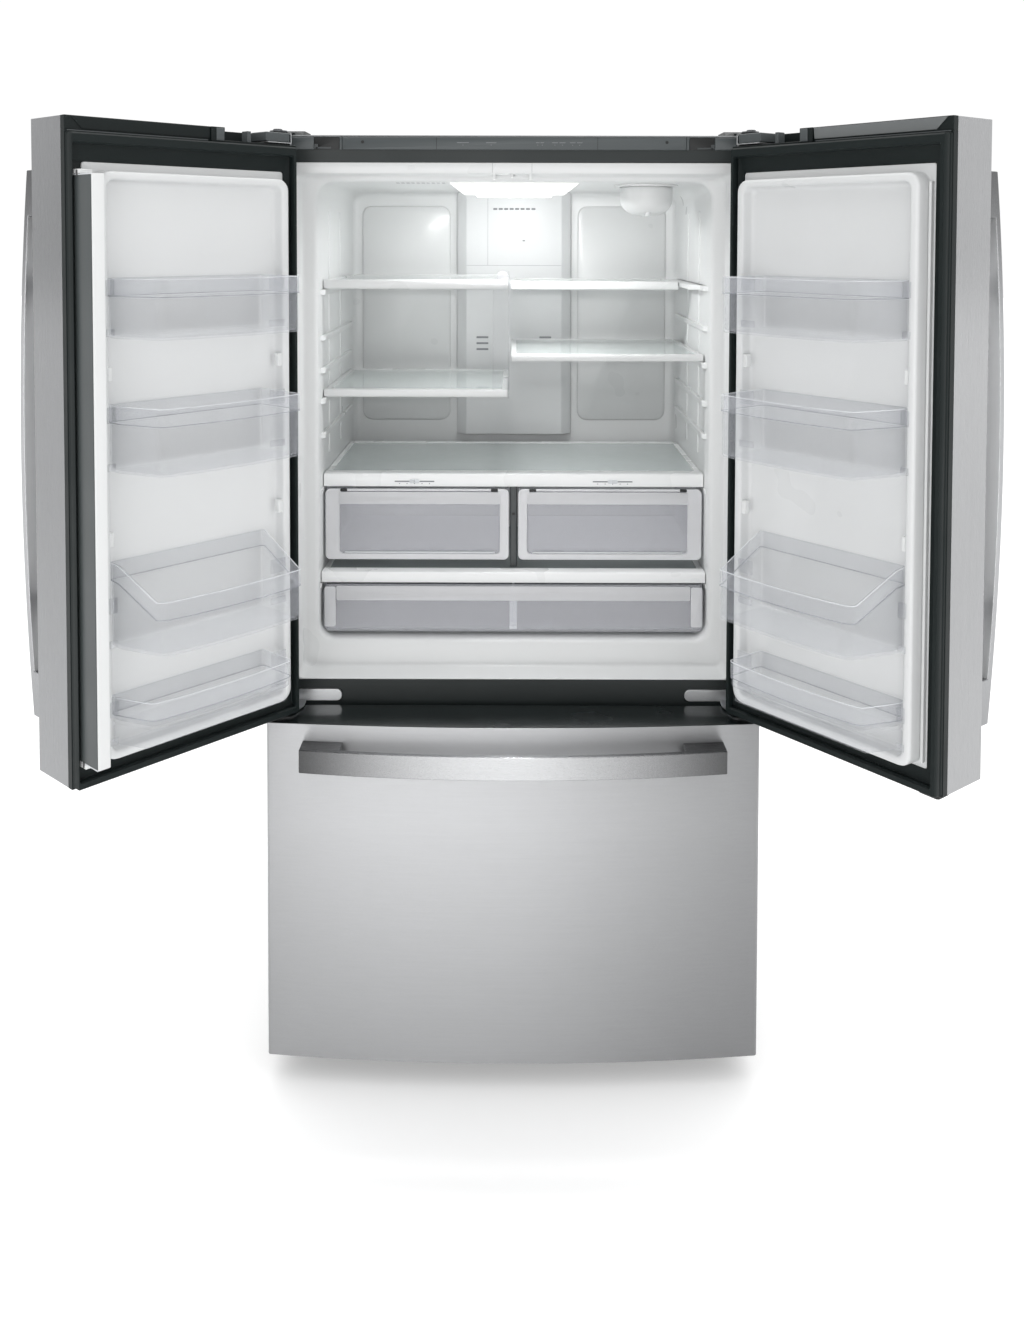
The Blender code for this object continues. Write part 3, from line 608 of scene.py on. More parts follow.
def louvre(x, z):
    """A pressed slat on the machine cover, open along its foot."""
    half, y = 0.048, CASE_DEPTH
    profile = [(y - 0.001, z), (y + 0.0045, z), (y + 0.0042, z + 0.002), (y - 0.0005, z + 0.013)]
    return prism(profile, x - half, x + half, "x")


def screw_head(x, y, z, facing=1.0, radius=0.0048):
    profile = [(radius, y - facing * 0.0005), (radius, y + facing * 0.0008),
               (radius * 0.8, y + facing * 0.002), (radius * 0.42, y + facing * 0.0024),
               (radius * 0.36, y + facing * 0.0012)]
    return turned(profile, (x, z), "y", 18)


def make_front():
    """The dark frame round both compartments, its control strip and its hinge plates."""
    outer = (-0.4506, 0.4506, 0.0605, 1.7536)
    fresh = (-0.4163, 0.4163, 0.7167, 1.7063)
    freezer = (-0.4253, 0.4253, 0.085, 0.642)
    rail_half, rail_low, rail_top, recessed = 0.3275, 0.675, 0.6995, 0.003
    spans = (
        (outer[0], fresh[0], 0.0, fresh[2], fresh[3]), (fresh[1], outer[1], 0.0, fresh[2], fresh[3]),
        (outer[0], outer[1], 0.0, fresh[3], outer[3]), (outer[0], outer[1], 0.0, rail_top, fresh[2]),
        (-rail_half, rail_half, 0.0, rail_low, rail_top), (outer[0], outer[1], 0.0, freezer[3], rail_low),
        (outer[0], freezer[0], 0.0, freezer[2], freezer[3]),
        (freezer[1], outer[1], 0.0, freezer[2], freezer[3]),
        (outer[0], outer[1], 0.0, outer[2], freezer[2]),
        (outer[0], -rail_half, recessed, rail_low, rail_top),
        (rail_half, outer[1], recessed, rail_low, rail_top),
    )
    bars = [box(x0, x1, face, 0.012, z0, z1) for x0, x1, face, z0, z1 in spans]
    add("front_surround", joined(*bars), CABINET, frame_dark, replaces=["front_frame"])
    low, top = 1.7297, 1.7532
    seam_low, seam_top = 1.73, 1.7528
    strip = slab((-0.324, 0.324, low, top), 0.002, -0.004, -0.0003)
    add("control_strip", strip, CABINET, strip_grey, replaces=["control_panel"])
    for side, place in CABINET_SIDES:
        ends = [slab((-0.4495, -0.3775, low, top), 0.002, -0.003, -0.0002),
                slab((-0.3295, -0.3245, low, top), 0.001, -0.0035, -0.0002)]
        add(f"strip_end_{side}", joined(*ends), place, strip_grey)
        recess = slab((-0.377, -0.33, seam_low, seam_top), 0.001, -0.0008, -0.0001, 0.0002)
        add(f"strip_recess_{side}", recess, place, black_parts_and_hole_shade)
        stub = [box(-0.374, -0.345, -0.003, -0.0006, 1.731, 1.7345),
                box(-0.377, -0.37, -0.003, -0.0006, 1.731, 1.74)]
        add(f"strip_stub_{side}", joined(*stub), place, post_grey, 0.0006)
    seams = [slab((x - 0.0004, x + 0.0004, seam_low, seam_top), 0.0001, -0.0042, -0.0039, 0.0001)
             for x in (-0.1465, 0.1569)]
    add("strip_seams", joined(*seams), CABINET, black_parts_and_hole_shade)
    marks = []
    for x0, x1, count in ((-0.108, -0.0798, 1), (-0.0534, -0.029, 1), (0.0406, 0.0576, 2),
                          (0.0707, 0.099, 2), (0.1046, 0.1309, 2)):
        width = (x1 - x0) / count
        for number in range(count):
            left = x0 + width * number
            marks.append(slab((left, left + width * 0.8, 1.7424, 1.7436), 0.0004, -0.0043, -0.0039, 0.0001))
            marks.append(rod((left + width * 0.4, 1.7385), 0.0008, -0.0043, -0.0039, "y", 12))
    add("touch_marks", joined(*marks), CABINET, icon_grey)
    # Painted shade: black discs on the strip's face stand for the screw holes.
    holes = [rod((x, 1.744), 0.003, -0.0046, -0.0038, "y", 18) for x in (-0.2856, 0.287)]
    add("strip_screw_holes", joined(*holes), CABINET, black_parts_and_hole_shade)
    for name, place in CABINET_SIDES:
        plate = rounded_rect((-0.4165, -0.3284, 0.6762, 0.6988), 0.0105)
        add(f"rail_plate_{name}", prism(plate, -0.0016, 0.0027, "y"), place, hinge_steel, 0.0008, 3,
            replaces=[f"centre_hinge_{name}"])
        arm = softened([(-0.4475, -0.066), (-0.412, -0.066), (-0.396, -0.03), (-0.396, 0.002),
                        (-0.4475, 0.002)], 0.012)
        add(f"rail_arm_{name}", prism(arm, 0.6756, 0.6793), place, hinge_steel, 0.0007)
        pin = [(0.0058, 0.679), (0.0058, 0.693), (0.0045, 0.697)]
        washer = [(0.012, 0.6792), (0.013, 0.6797), (0.013, 0.6812), (0.012, 0.6816)]
        add(f"rail_pin_{name}", joined(turned(pin, PIVOT), turned(washer, PIVOT)), place, screw_steel)


def make_fresh_liner():
    mouth = (-0.413, 0.413, 0.72, 1.685)
    inner = (-0.383, 0.383, 0.772, 1.672)
    outer = (-0.4158, 0.4158, 0.7172, 1.7058)
    hidden = (-0.386, 0.386, 0.769, 1.675)
    sections = [
        *nested(hidden, (0.0, 0.03, 0.588), (0.0, 0.03, 0.07)),
        *nested(outer, (0.0, 0.006, 0.068), (0.0, 0.004, 0.0012), (0.001, 0.004, 0.0)),
        *nested(mouth, (-0.001, 0.012, 0.0), (0.0, 0.013, 0.0012), (0.001, 0.016, 0.058),
                (0.0035, 0.018, 0.0632), (0.009, 0.022, 0.0652)),
        *nested(inner, (-0.009, 0.036, 0.066), (-0.004, 0.033, 0.0675), (-0.0008, 0.031, 0.0715),
                (0.0, 0.03, 0.078), (0.0, 0.03, 0.57), (0.003, 0.028, 0.58), (0.012, 0.024, 0.5848)),
    ]
    add("fresh_tub", basin(sections), CABINET, white, replaces=["fresh_food_liner"], angle=55.0)

    ledges = []
    wall = 0.3845
    for side, heights in ((-1.0, (1.4605, 1.37, 1.305, 1.2435, 1.175)),
                          (1.0, (1.4698, 1.39, 1.316, 1.24, 1.175))):
        for top in heights:
            ledges.append(ledge(side, wall, 0.0095, 0.1, 0.52, top, 0.011))
        ledges.append(ledge(side, wall, 0.0036, 0.1, 0.5, 1.063, 0.01))
        ledges.append(ledge(side, wall, 0.0036, 0.085, 0.48, 0.8775, 0.01))
    ledges.append(ledge(1.0, wall, 0.03, 0.135, 0.5, 1.4698, 0.01))
    add("wall_ledges", joined(*ledges), CABINET, white, 0.0018, 3)
    ribs = [box(side * wall - 0.004, side * wall + 0.004, y, y + 0.008, 1.12, 1.62)
            for side in (-1.0, 1.0) for y in (0.205, 0.365)]
    add("wall_ribs", joined(*ribs), CABINET, white, 0.0022, 3)

    panels = []
    for x in (-0.255, 0.255):
        face = (x - 0.105, x + 0.105, 1.13, 1.64)
        panels.append(basin(nested(face, (0.0, 0.024, 0.586), (0.001, 0.023, 0.5825), (0.004, 0.02, 0.581))))
    add("back_wall_panels", joined(*panels), CABINET, white, angle=60.0)

    guide = [box(-0.041, -0.036, 0.003, 0.04, 1.6755, 1.6852), box(0.028, 0.033, 0.003, 0.04, 1.6755, 1.6852),
             box(-0.041, 0.033, 0.036, 0.04, 1.677, 1.6852),
             box(-0.006, -0.002, 0.003, 0.038, 1.6795, 1.6852)]
    add("flipper_guide", joined(*guide), CABINET, white, 0.001)
    seam = [box(left, left + 0.0005, -0.0002, 0.002, 1.6868, 1.705) for left in (-0.0415, 0.033)]
    add("lip_seams", joined(*seam), CABINET, seam_grey_and_slot_shade)
    switch = rounded_rect((-0.2, -0.186, 1.6915, 1.699), 0.003)
    add("door_switch", prism(switch, -0.0016, 0.003, "y"), CABINET, duct_white, 0.0008)
    louvres = [box(-0.232 + 0.01 * n, -0.226 + 0.01 * n, 0.09, 0.112, 1.6708, 1.6722) for n in range(10)]
    add("ceiling_vent", joined(*louvres), CABINET, vent_grey, 0.0005)


def ledge(side, wall, reach, y0, y1, top, thick):
    """A moulded rib on a side wall with its front end rounded off in plan."""
    outline = [(wall, y0), (wall - reach, y0 + reach * 1.2), (wall - reach, y1), (wall, y1)]
    if side < 0.0:
        outline = [(-x, y) for x, y in outline[::-1]]
    return prism(outline, top - thick, top)


def make_fresh_fittings():
    wedge = [(-0.128, 1.6718), (-0.1, 1.65), (0.1, 1.65), (0.128, 1.6718)]
    add("light_housing", prism(wedge, 0.09, 0.16, "y"), CABINET, lens_white, 0.003, 3,
        replaces=["light_lens"])
    glow = soft_rectangle(-0.074, 0.074, 0.096, 0.154, 0.01)
    add("light_diffuser", prism(glow, 1.6455, 1.651), CABINET, lens_glow, 0.0012)

    duct = softened([(0.134, 0.585), (-0.134, 0.585), (-0.134, 0.572), (-0.112, 0.556), (0.112, 0.556),
                     (0.134, 0.572)], 0.006)
    add("duct_cover", prism(duct, 1.1, 1.6716), CABINET, duct_white, 0.002, 3, replaces=["air_duct_cover"])
    # Painted shade: the duct cover's openings are drawn as flat grey patches.
    openings = [(x, x + 0.0095, 1.63, 1.6345) for x in [-0.049 + 0.0128 * number for number in range(8)]]
    openings += [(x, x + 0.028, 1.3 + 0.014 * row, 1.3045 + 0.014 * row) for x in (-0.088, 0.06)
                 for row in range(3)]
    slots = [slab(sides, 0.0014, 0.5552, 0.557, 0.0003) for sides in openings]
    slots.append(slab((0.02, 0.026, 1.5565, 1.5595), 0.0012, 0.5548, 0.557, 0.0003))
    add("duct_slots", joined(*slots), CABINET, seam_grey_and_slot_shade)
    seams = [box(-0.1115, 0.1115, 0.5556, 0.557, 1.4995, 1.5001),
             box(-0.062, -0.0614, 0.5556, 0.557, 1.5001, 1.66)]
    add("duct_seams", joined(*seams), CABINET, seam_grey_and_slot_shade)

    at = (0.268, 0.17)
    turn = Place("filter")
    dome = [(0.047, 1.6716), (0.047, 1.668), (0.052, 1.6665), (0.053, 1.664), (0.053, 1.643)]
    for step in range(1, 11):
        angle = math.radians(90.0 * step / 10.0)
        dome.append((0.053 * math.cos(angle * 0.98) ** 0.72, 1.643 - 0.0335 * math.sin(angle)))
    add("filter_cap", turned(dome, at, steps=64), turn, white, replaces=["water_filter"])
    grip = soft_rectangle(at[0] - 0.0045, at[0] + 0.0045, at[1] - 0.038, at[1] + 0.038, 0.004)
    add("filter_grip", prism(grip, 1.6075, 1.625), turn, duct_white, 0.0018, 3)
    collar = [(0.064, 1.6718), (0.064, 1.669), (0.0615, 1.6672), (0.056, 1.6672), (0.0545, 1.669),
              (0.0545, 1.6718)]
    rings = [[(x, y, z) for x, y in circle(at, radius, 64)] for radius, z in collar]
    add("filter_collar", loft(rings, looped=True), CABINET, white)


def shelf(name, node, place, x0, x1, y0, y1, low, high, trim=0.016):
    """A glass pane in a white frame with a rounded front nose."""
    nose = [(y0, low + 0.004), (y0, high - 0.004), (y0 + 0.002, high - 0.0008), (y0 + 0.005, high),
            (y0 + trim, high), (y0 + trim, high - 0.006), (y0 + trim - 0.004, low + 0.002), (y0 + 0.005, low),
            (y0 + 0.0015, low + 0.001)]
    rails = [prism(nose, x0, x1, "x")]
    for left in (x0, x1 - 0.011):
        rails.append(box(left, left + 0.011, y0 + trim - 0.002, y1, low + 0.0022, high - 0.0015))
    rails.append(box(x0 + 0.011, x1 - 0.011, y1 - 0.013, y1, low + 0.0022, high - 0.0008))
    # Painted light and shade: cover frames take the lighter copy of the frame white, shelf frames the darker
    # one.
    look = cover_frame_lit_white if "cover" in name else shelf_frame_shaded_white
    add(name + "_frame", joined(*rails), place, look, 0.0012, 3, replaces=[node])
    pane = box(x0 + 0.008, x1 - 0.008, y0 + trim - 0.002, y1 - 0.008, high - 0.007, high - 0.003)
    add(name + "_pane", pane, place, glass, 0.0006)


def make_shelves():
    for name, place, x0, x1, y0, low, high in (
            ("left_upper", CABINET, -SHELF_HALF, -0.0125, SHELF_FRONT, 1.461, 1.48),
            ("left_lower", CABINET, -SHELF_HALF, -0.0125, SHELF_FRONT, 1.244, 1.26),
            ("right_lower", CABINET, -0.0055, 0.38, SHELF_FRONT, 1.3165, 1.331),
            ("half_depth", Place("half_shelf"), -0.006, 0.352, 0.3, 1.453, 1.472)):
        shelf(name, f"{name}_shelf", place, x0, x1, y0, SHELF_BACK, low, high)
    hanger = [(0.1, 1.246), (0.128, 1.2435), (0.4, 1.2435), (0.4, 1.48), (0.15, 1.48),
              (0.142, 1.497), (0.112, 1.497), (0.104, 1.47)]
    plate = prism(hanger, -0.0118, -0.0092, "x")
    front = slab((-0.042, -0.0095, 1.262, 1.46), 0.003, 0.1015, 0.1045, 0.0008)
    brace = box(-0.042, -0.0395, 0.1045, 0.1275, 1.262, 1.46)
    add("shelf_hanger", joined(plate, front, brace), CABINET, bin_clear, 0.0006)
    knob = [(0.009, 0.0985), (0.0115, 0.1), (0.0115, 0.104), (0.009, 0.1055)]
    add("hanger_knob", turned(knob, (-0.023, 1.486), "y", 32), CABINET, frost_clear)
    post = soft_rectangle(-0.0072, 0.0072, 0.13, 0.162, 0.003)
    add("crisper_post", prism(post, 0.901, 1.064), CABINET, post_grey, 0.001)
    # Painted shade: a black patch on the post stands for its hole.
    add("crisper_post_hole", slab((-0.003, 0.003, 1.006, 1.011), 0.0015, 0.1293, 0.1306, 0.0002),
        CABINET, black_parts_and_hole_shade)


def make_crisper_area():
    wide = (-SHELF_HALF, SHELF_HALF)
    shelf("crisper_cover", "crisper_cover", CABINET, *wide, 0.124, SHELF_BACK, 1.0635, 1.0905, 0.036)
    shelf("deli_cover", "deli_cover", CABINET, *wide, 0.09, 0.5, 0.878, 0.9, 0.034)
    for name, x in (("left", -0.199), ("right", 0.199)):
        track = slab((x - 0.04, x + 0.04, 1.0738, 1.0762), 0.0011, 0.1234, 0.1245, 0.0002)
        ticks = [rod((x - 0.03 + 0.015 * n, 1.0705), 0.001, 0.1235, 0.1244, "y", 12) for n in range(5)]
        add(f"humidity_track_{name}", joined(track, *ticks), CABINET, seam_grey_and_slot_shade)
        knob = slab((x - 0.01, x + 0.01, 1.0715, 1.0795), 0.003, 0.1197, 0.1232, 0.001)
        ridge = slab((x - 0.0012, x + 0.0012, 1.0725, 1.0785), 0.001, 0.1187, 0.12, 0.0005)
        add(f"humidity_knob_{name}", joined(knob, ridge), Place(f"slider_{name}"), slider_grey,
            replaces=[f"humidity_slider_{name}"])
    crisper("left", Place("crisper_drawer_left"), "crisper_left")
    crisper("right", Place("crisper_drawer_right", mirrored=True), "crisper_right")

    deli = Place("deli")
    front = 0.0915
    pan("deli_pan", "deli_drawer", deli, -PAN_HALF, PAN_HALF, 0.097, 0.49, 0.7795, 0.874)
    sides = (-PAN_HALF, PAN_HALF, 0.78, 0.8738)
    face = nested(sides, (0.0, 0.014, 0.0975), (0.0, 0.014, 0.0935), (0.0015, 0.0125, front))
    add("deli_face", basin(face), deli, pan_clear)
    lip = slab((-0.352, 0.352, 0.843, 0.8715), 0.003, front - 0.0012, front, 0.0006)
    add("deli_lip", lip, deli, frost_clear)
    ends = [slab((x, x + 0.022, 0.79, 0.87), 0.004, front - 0.001, front + 0.001, 0.0006)
            for x in (-0.3755, 0.3535)]
    add("deli_ends", joined(*ends), deli, frost_clear)
    divider = [box(-0.0025, 0.0025, 0.1, 0.486, 0.783, 0.864),
               box(-0.0075, 0.0075, 0.0978, 0.101, 0.783, 0.87)]
    add("deli_divider", joined(*divider), deli, basket_white, 0.0008)


def pan(name, node, place, x0, x1, y0, y1, z0, z1):
    """A clear tub, open above, with round corners and a turned-out rim."""
    plan = soft_rectangle(x0, x1, y0, y1, 0.012)
    heights = ((0.008, z0), (0.003, z0 + 0.003), (0.0006, z0 + 0.01), (0.0006, z1 - 0.009),
               (0.0, z1 - 0.008), (0.0, z1 - 0.0006), (0.0006, z1), (0.0026, z1), (0.0032, z1 - 0.0006),
               (0.0036, z0 + 0.006), (0.006, z0 + 0.0032))
    add(name, tub(plan, heights), place, pan_clear, replaces=[node])


def crisper(side, place, node):
    """Drawn as the left one: a tub behind a framed front with a frosted pull band."""
    x0, x1, z0, z1 = -PAN_HALF, -0.0095, 0.9165, 1.0595
    front = 0.1215
    pan(f"crisper_pan_{side}", node, place, x0, x1, 0.127, 0.5, z0, z1)
    outer, inner = (x0, x1, z0 + 0.0005, z1), (x0 + 0.028, x1 - 0.018, z0 + 0.012, z1 - 0.004)
    sections = nested(outer, (0.0, 0.01, 0.1272), (0.0, 0.01, front + 0.0015), (0.0015, 0.009, front))
    sections += nested(inner, (-0.0012, 0.009, front), (0.0, 0.008, front + 0.0012), (0.0, 0.008, 0.1272))
    ring = basin(sections, looped=True)
    add(f"crisper_frame_{side}", ring, place, frost_clear)
    pane = slab(shrunk(inner, -0.001), 0.008, front + 0.003, 0.127, 0.0006)
    add(f"crisper_window_{side}", pane, place, pan_clear)
    sides = (inner[0] - 0.001, inner[1] + 0.001, z1 - 0.03, z1 - 0.006)
    band = slab(sides, 0.003, front - 0.001, front + 0.003, 0.0008)
    add(f"crisper_band_{side}", band, place, frost_clear)
    clips = [slab((x, x + 0.014, z1 - 0.0045, z1 + 0.0005), 0.0015, front - 0.0008, front + 0.004, 0.0005)
             for x in (inner[0] + 0.002, inner[1] - 0.018)]
    add(f"crisper_clips_{side}", joined(*clips), place, black_parts_and_hole_shade)
    sides = (inner[0] + 0.01, inner[1] - 0.01, z0 + 0.013, z0 + 0.016)
    foot = slab(sides, 0.001, front + 0.0018, front + 0.004, 0.0005)
    add(f"crisper_foot_line_{side}", foot, place, slider_grey)


def make_top_hinges():
    for name, place in CABINET_SIDES:
        plate = softened([(-0.45, -0.056), (-0.44, -0.0675), (-0.427, -0.0675), (-0.4185, -0.056),
                          (-0.4185, 0.13), (-0.45, 0.13)], 0.005)
        arm = prism(plate, CASE_TOP + 0.0004, 1.7602)
        profile = [(0.0058, 1.738), (0.0058, 1.76), (0.0085, 1.7602), (0.0085, 1.7622), (0.007, 1.7632)]
        pin = turned(profile, PIVOT)
        add(f"hinge_arm_{name}", joined(arm, pin), place, arm_steel, 0.0006, replaces=[f"top_hinge_{name}"])
        hood = [(0.004, CASE_TOP + 0.0004), (0.004, 1.7615), (0.012, 1.7645), (0.095, 1.7665),
                (0.114, 1.7735), (0.122, 1.7748), (0.184, 1.7748), (0.19, 1.7715),
                (0.19, CASE_TOP + 0.0004)]
        add(f"hinge_hood_{name}", prism(hood, -0.4528, -0.4142, "x"), place, dark, 0.0022, 3,
            replaces=[f"hinge_cover_{name}"])
        head = turned([(0.005, 1.7745), (0.005, 1.7755), (0.003, 1.7762)], (-0.4335, 0.158), steps=20)
        add(f"hinge_hood_screw_{name}", head, place, screw_steel)


# Doors

def door_bin(name, node, place, low, rim, depth_end, depth_middle, rise):
    """A clear bin: bowed front, one side folded in towards the front, and a thicker band along its rim."""
    x0, x1 = BIN_SIDES
    back, corner, steps = -0.0112, x1 - 0.026, 12
    fold = max(depth_end - 0.086, 0.004)
    plan = [(x0, depth_end), (x0, back), (x1, back), (x1, fold)]
    for step in range(steps):
        along = 1.0 - 2.0 * step / steps
        x = (x0 + corner) / 2.0 + along * (corner - x0) / 2.0
        plan.append((x, depth_end + (depth_middle - depth_end) * (1.0 - along ** 2)))
    plan = softened(plan, {0: 0.012, 3: 0.004, 4: 0.02})

    def top_at(y):
        slope = min(max((0.07 - y) / 0.058, 0.0), 1.0)
        return rim + rise * (3.0 * slope ** 2 - 2.0 * slope ** 3)

    def ring(inset, height, from_top, toe=False):
        points = []
        for x, y in inset_outline(plan, inset):
            if toe:
                y = min(y, TOE_DEPTH - inset)
            points.append((x, y, top_at(y) - height if from_top else low + height))
        return points

    def line(top, bottom, proud):
        return loft([ring(proud, bottom, True), ring(-proud, bottom, True), ring(-proud, top, True),
                     ring(proud, top, True)], looped=True)

    toed = low < TOE_TOP
    step_up = TOE_TOP - low
    body = [ring(0.0045, 0.0, False, toed), ring(0.002, 0.0025, False, toed)]
    if toed:
        body += [ring(0.002, step_up - 0.004, False, True), ring(0.0045, step_up + 0.001, False),
                 ring(0.002, step_up + 0.004, False)]
    body += [ring(0.002, 0.0305, True), ring(0.004, 0.031, True)]
    floor = step_up + 0.006 if toed else 0.0035
    body += [ring(0.0044, 0.032, True), ring(0.0046, floor + 0.003, False), ring(0.008, floor, False)]
    add(f"{name}_tub", loft(body), place, bin_clear, replaces=[node])
    band = [ring(inset, height, True) for inset, height in (
        (0.0006, 0.029), (0.0, 0.028), (0.0, 0.0012), (0.0008, 0.0), (0.0034, 0.0), (0.0042, 0.0012),
        (0.0042, 0.028), (0.0036, 0.029))]
    add(f"{name}_rim", loft(band, looped=True), place, rim_clear)
    # Painted shade along the rim band's lower edge and a painted highlight along its top edge.
    add(f"{name}_rim_painted_shade", line(0.0278, 0.0292, 0.0005), place, edge_painted_shade)
    add(f"{name}_rim_painted_highlight", line(0.0, 0.001, 0.0005), place, edge_painted_highlight)
    hooks = []
    for x in (x0, x1 - 0.002):
        outward = x + 0.002 if x > -0.2 else x
        reach = -0.05 if x > -0.2 else -0.3965
        a, b = sorted((outward, reach))
        hooks.append(box(a, b, 0.0128, 0.015, rim - 0.027, rim - 0.002))
        hooks.append(box(a, b, 0.0128, 0.015, low + 0.004, low + 0.016))
    add(f"{name}_hooks", joined(*hooks), place, rim_clear, 0.0008)


def make_door(side, place, steel):
    x0, x1 = DOOR_X
    skin = prism(skin_outline(x0, x1, DOOR_BULGE, DOOR_CORNER), DOOR_LOW + 0.0004, DOOR_TOP - 0.0004)
    add(f"{side}_skin", skin, place, steel, 0.0006, replaces=[f"{side}_door_skin"], angle=50.0)
    tray = core_outline(x0, x1, DOOR_BULGE, DOOR_CORNER, DOOR_FLANGE)
    add(f"{side}_tray", prism(tray, DOOR_LOW, POCKET_FLOOR), place, dark, 0.0008,
        replaces=[f"{side}_door_frame"], angle=50.0)
    make_door_top(side, place)
    make_door_liner(side, place)
    make_door_seal(side, place)

    outline = handle_outline(HANDLE_HALF, 0.1615, 0.1955, lambda along: 0.1306)
    outline = [(-out, HANDLE_MIDDLE + along) for along, out in outline]
    bar = prism(outline, -0.0515, -0.0095, "x")
    add(f"{side}_handle", bar, place, door_handle_steel, 0.0016, 3,
        replaces=[f"{side}_door_handle"], angle=50.0)
    # Painted reflection: a thin strip on the bar's inner face carries the lighter copy of the handle steel.
    inner = outline[-HANDLE_STEPS - 2:-1]
    reflection_strip = inner + [(y + 0.0008, z) for y, z in inner[::-1]]
    add(f"{side}_handle_reflection_strip", prism(reflection_strip, -0.0503, -0.0107, "x"), place, handle_painted_reflection)
    foot = soft_rectangle(-0.453, -0.39, -0.09, -0.024, 0.015)
    add(f"{side}_foot_cap", prism(foot, 0.6818, 0.685), place, black_parts_and_hole_shade, 0.0012)
    if place.mirrored:
        block = soft_rectangle(-0.05, -0.012, -0.06, -0.025, 0.006)
        add("free_corner_foot", prism(block, 0.6745, 0.6822), place, black_parts_and_hole_shade, 0.0012)
    for number, sizes in enumerate(BINS, 1):
        door_bin(f"{side}_bin_{number}", f"{side}_door_bin_{number}", place, *sizes)


def make_door_top(side, place):
    """The cap over the door's top edge, with the pocket that the hinge's arm turns in."""
    x0, x1 = DOOR_X
    pocket_x, pocket_y, top = -0.3, -0.088, DOOR_TOP - 0.0002
    outline = core_outline(x0, x1, DOOR_BULGE, DOOR_CORNER, DOOR_FLANGE)
    over, front = prism(outline, POCKET_FLOOR, top), prism(outline, POCKET_FLOOR, top)
    cut(over, (pocket_x, 0.0, 0.0), (-1.0, 0.0, 0.0))
    cut(front, (pocket_x, 0.0, 0.0), (1.0, 0.0, 0.0))
    cut(front, (0.0, pocket_y, 0.0), (0.0, 1.0, 0.0))
    add(f"{side}_cap", joined(over, front), place, dark, 0.0008, angle=50.0)

    # Painted reflection: the right door's cap face is lighter grey, the left door's the plain dark plastic.
    face_look = cap_face_reflection_grey if place.mirrored else dark
    left, right, low, high = -0.268, -0.033, 1.7345, 1.7535
    panel = [(left, low), (right, low), (right + 0.019, high), (left - 0.002, high)]
    add(f"{side}_cap_face", prism(panel, -0.0242, -0.0228, "y"), place, face_look, 0.0005)
    line = box(-0.266, -0.008, -0.0245, -0.023, 1.73, 1.7322)
    add(f"{side}_cap_line", line, place, strip_grey, 0.0005)
    # Painted shade: a black patch on the cap stands for the slot.
    slot = slab((-0.052, -0.0075, 1.727, 1.7292), 0.0008, -0.0245, -0.023, 0.0001)
    bmesh.ops.translate(slot, verts=slot.verts, vec=(0.0, 0.0006, 0.0))
    add(f"{side}_cap_slot", slot, place, black_parts_and_hole_shade)

    block = box(-0.298, -0.27, -0.03, -0.02, 1.729, 1.7548)
    add(f"{side}_cap_block", block, place, dark, 0.0012, 3)
    bars = [box(-0.296, -0.28, -0.021, -0.0188, 1.731, 1.753),
            box(-0.356, -0.348, -0.042, -0.025, POCKET_FLOOR - 0.001, 1.752)]
    add(f"{side}_cap_bars", joined(*bars), place, strip_grey, 0.001, 3)
    knuckle = box(-0.443, -0.39, -0.074, -0.027, 1.7375, 1.7545)
    add(f"{side}_knuckle", knuckle, place, strip_grey, 0.002, 3)
    plates = [box(-0.445, -0.392, -0.07, -0.0245, 1.7352, 1.7366),
              box(-0.4452, -0.4436, -0.06, -0.025, 1.7366, 1.7535)]
    add(f"{side}_knuckle_plate", joined(*plates), place, hinge_steel, 0.0004)
    clip = box(-0.438, -0.43, -0.024, -0.019, 1.714, 1.718)
    add(f"{side}_corner_clip", clip, place, hinge_steel, 0.0012)


def make_door_liner(side, place):
    flange = (-0.4208, -0.0303, 0.7195, 1.6826)
    dyke = (-0.4115, -0.04 if place.mirrored else -0.0425, 0.7225, 1.669)
    well = (-0.395, -0.056, 0.7375, 1.654)
    sections = [
        *nested(flange, (0.0, 0.005, -0.0236), (0.0, 0.005, -0.0213), (0.0007, 0.005, -0.0206)),
        *nested(dyke, (-0.0018, 0.024, -0.0206), (-0.0006, 0.023, -0.0196), (0.0, 0.022, -0.016),
                (0.0006, 0.022, 0.007), (0.002, 0.021, 0.0106), (0.0048, 0.02, 0.0124)),
        *nested(well, (-0.0042, 0.016, 0.0124), (-0.0012, 0.014, 0.011), (0.0, 0.012, 0.007),
                (0.0006, 0.012, -0.005), (0.003, 0.011, -0.0098), (0.008, 0.01, -0.0113)),
    ]
    # Painted shade: the liner uses the darker copy of the liner white.
    add(f"{side}_liner", basin(sections), place, door_liner_shaded_white, replaces=[f"{side}_door_liner"], angle=60.0)
    if place.mirrored:
        rib = soft_rectangle(-0.0385, -0.0332, -0.021, -0.012, 0.002)
        add("right_liner_rib", prism(rib, 0.73, 1.654), place, white, 0.0022, 3)
    else:
        ends = [box(-0.0335, -0.0102, -0.0215, 0.008, z, z + 0.007) for z in (0.7225, 1.6625)]
        add("flipper_brackets", joined(*ends), place, white, 0.0014, 3)
    lugs = []
    for z in (1.345, 1.08):
        for x in (well[0] + 0.003, well[1] - 0.003):
            lugs.append(box(x - 0.005, x + 0.005, -0.004, 0.008, z - 0.012, z + 0.012))
    add(f"{side}_bin_lugs", joined(*lugs), place, white, 0.0022, 3)


def seal_ring(outer, inner, radius, profile):
    """A gasket: each pair of its profile is the share of the way from outer to inner, and y."""
    return basin([(tuple(a + (b - a) * share for a, b in zip(outer, inner)), radius, y)
                  for share, y in profile], looped=True)


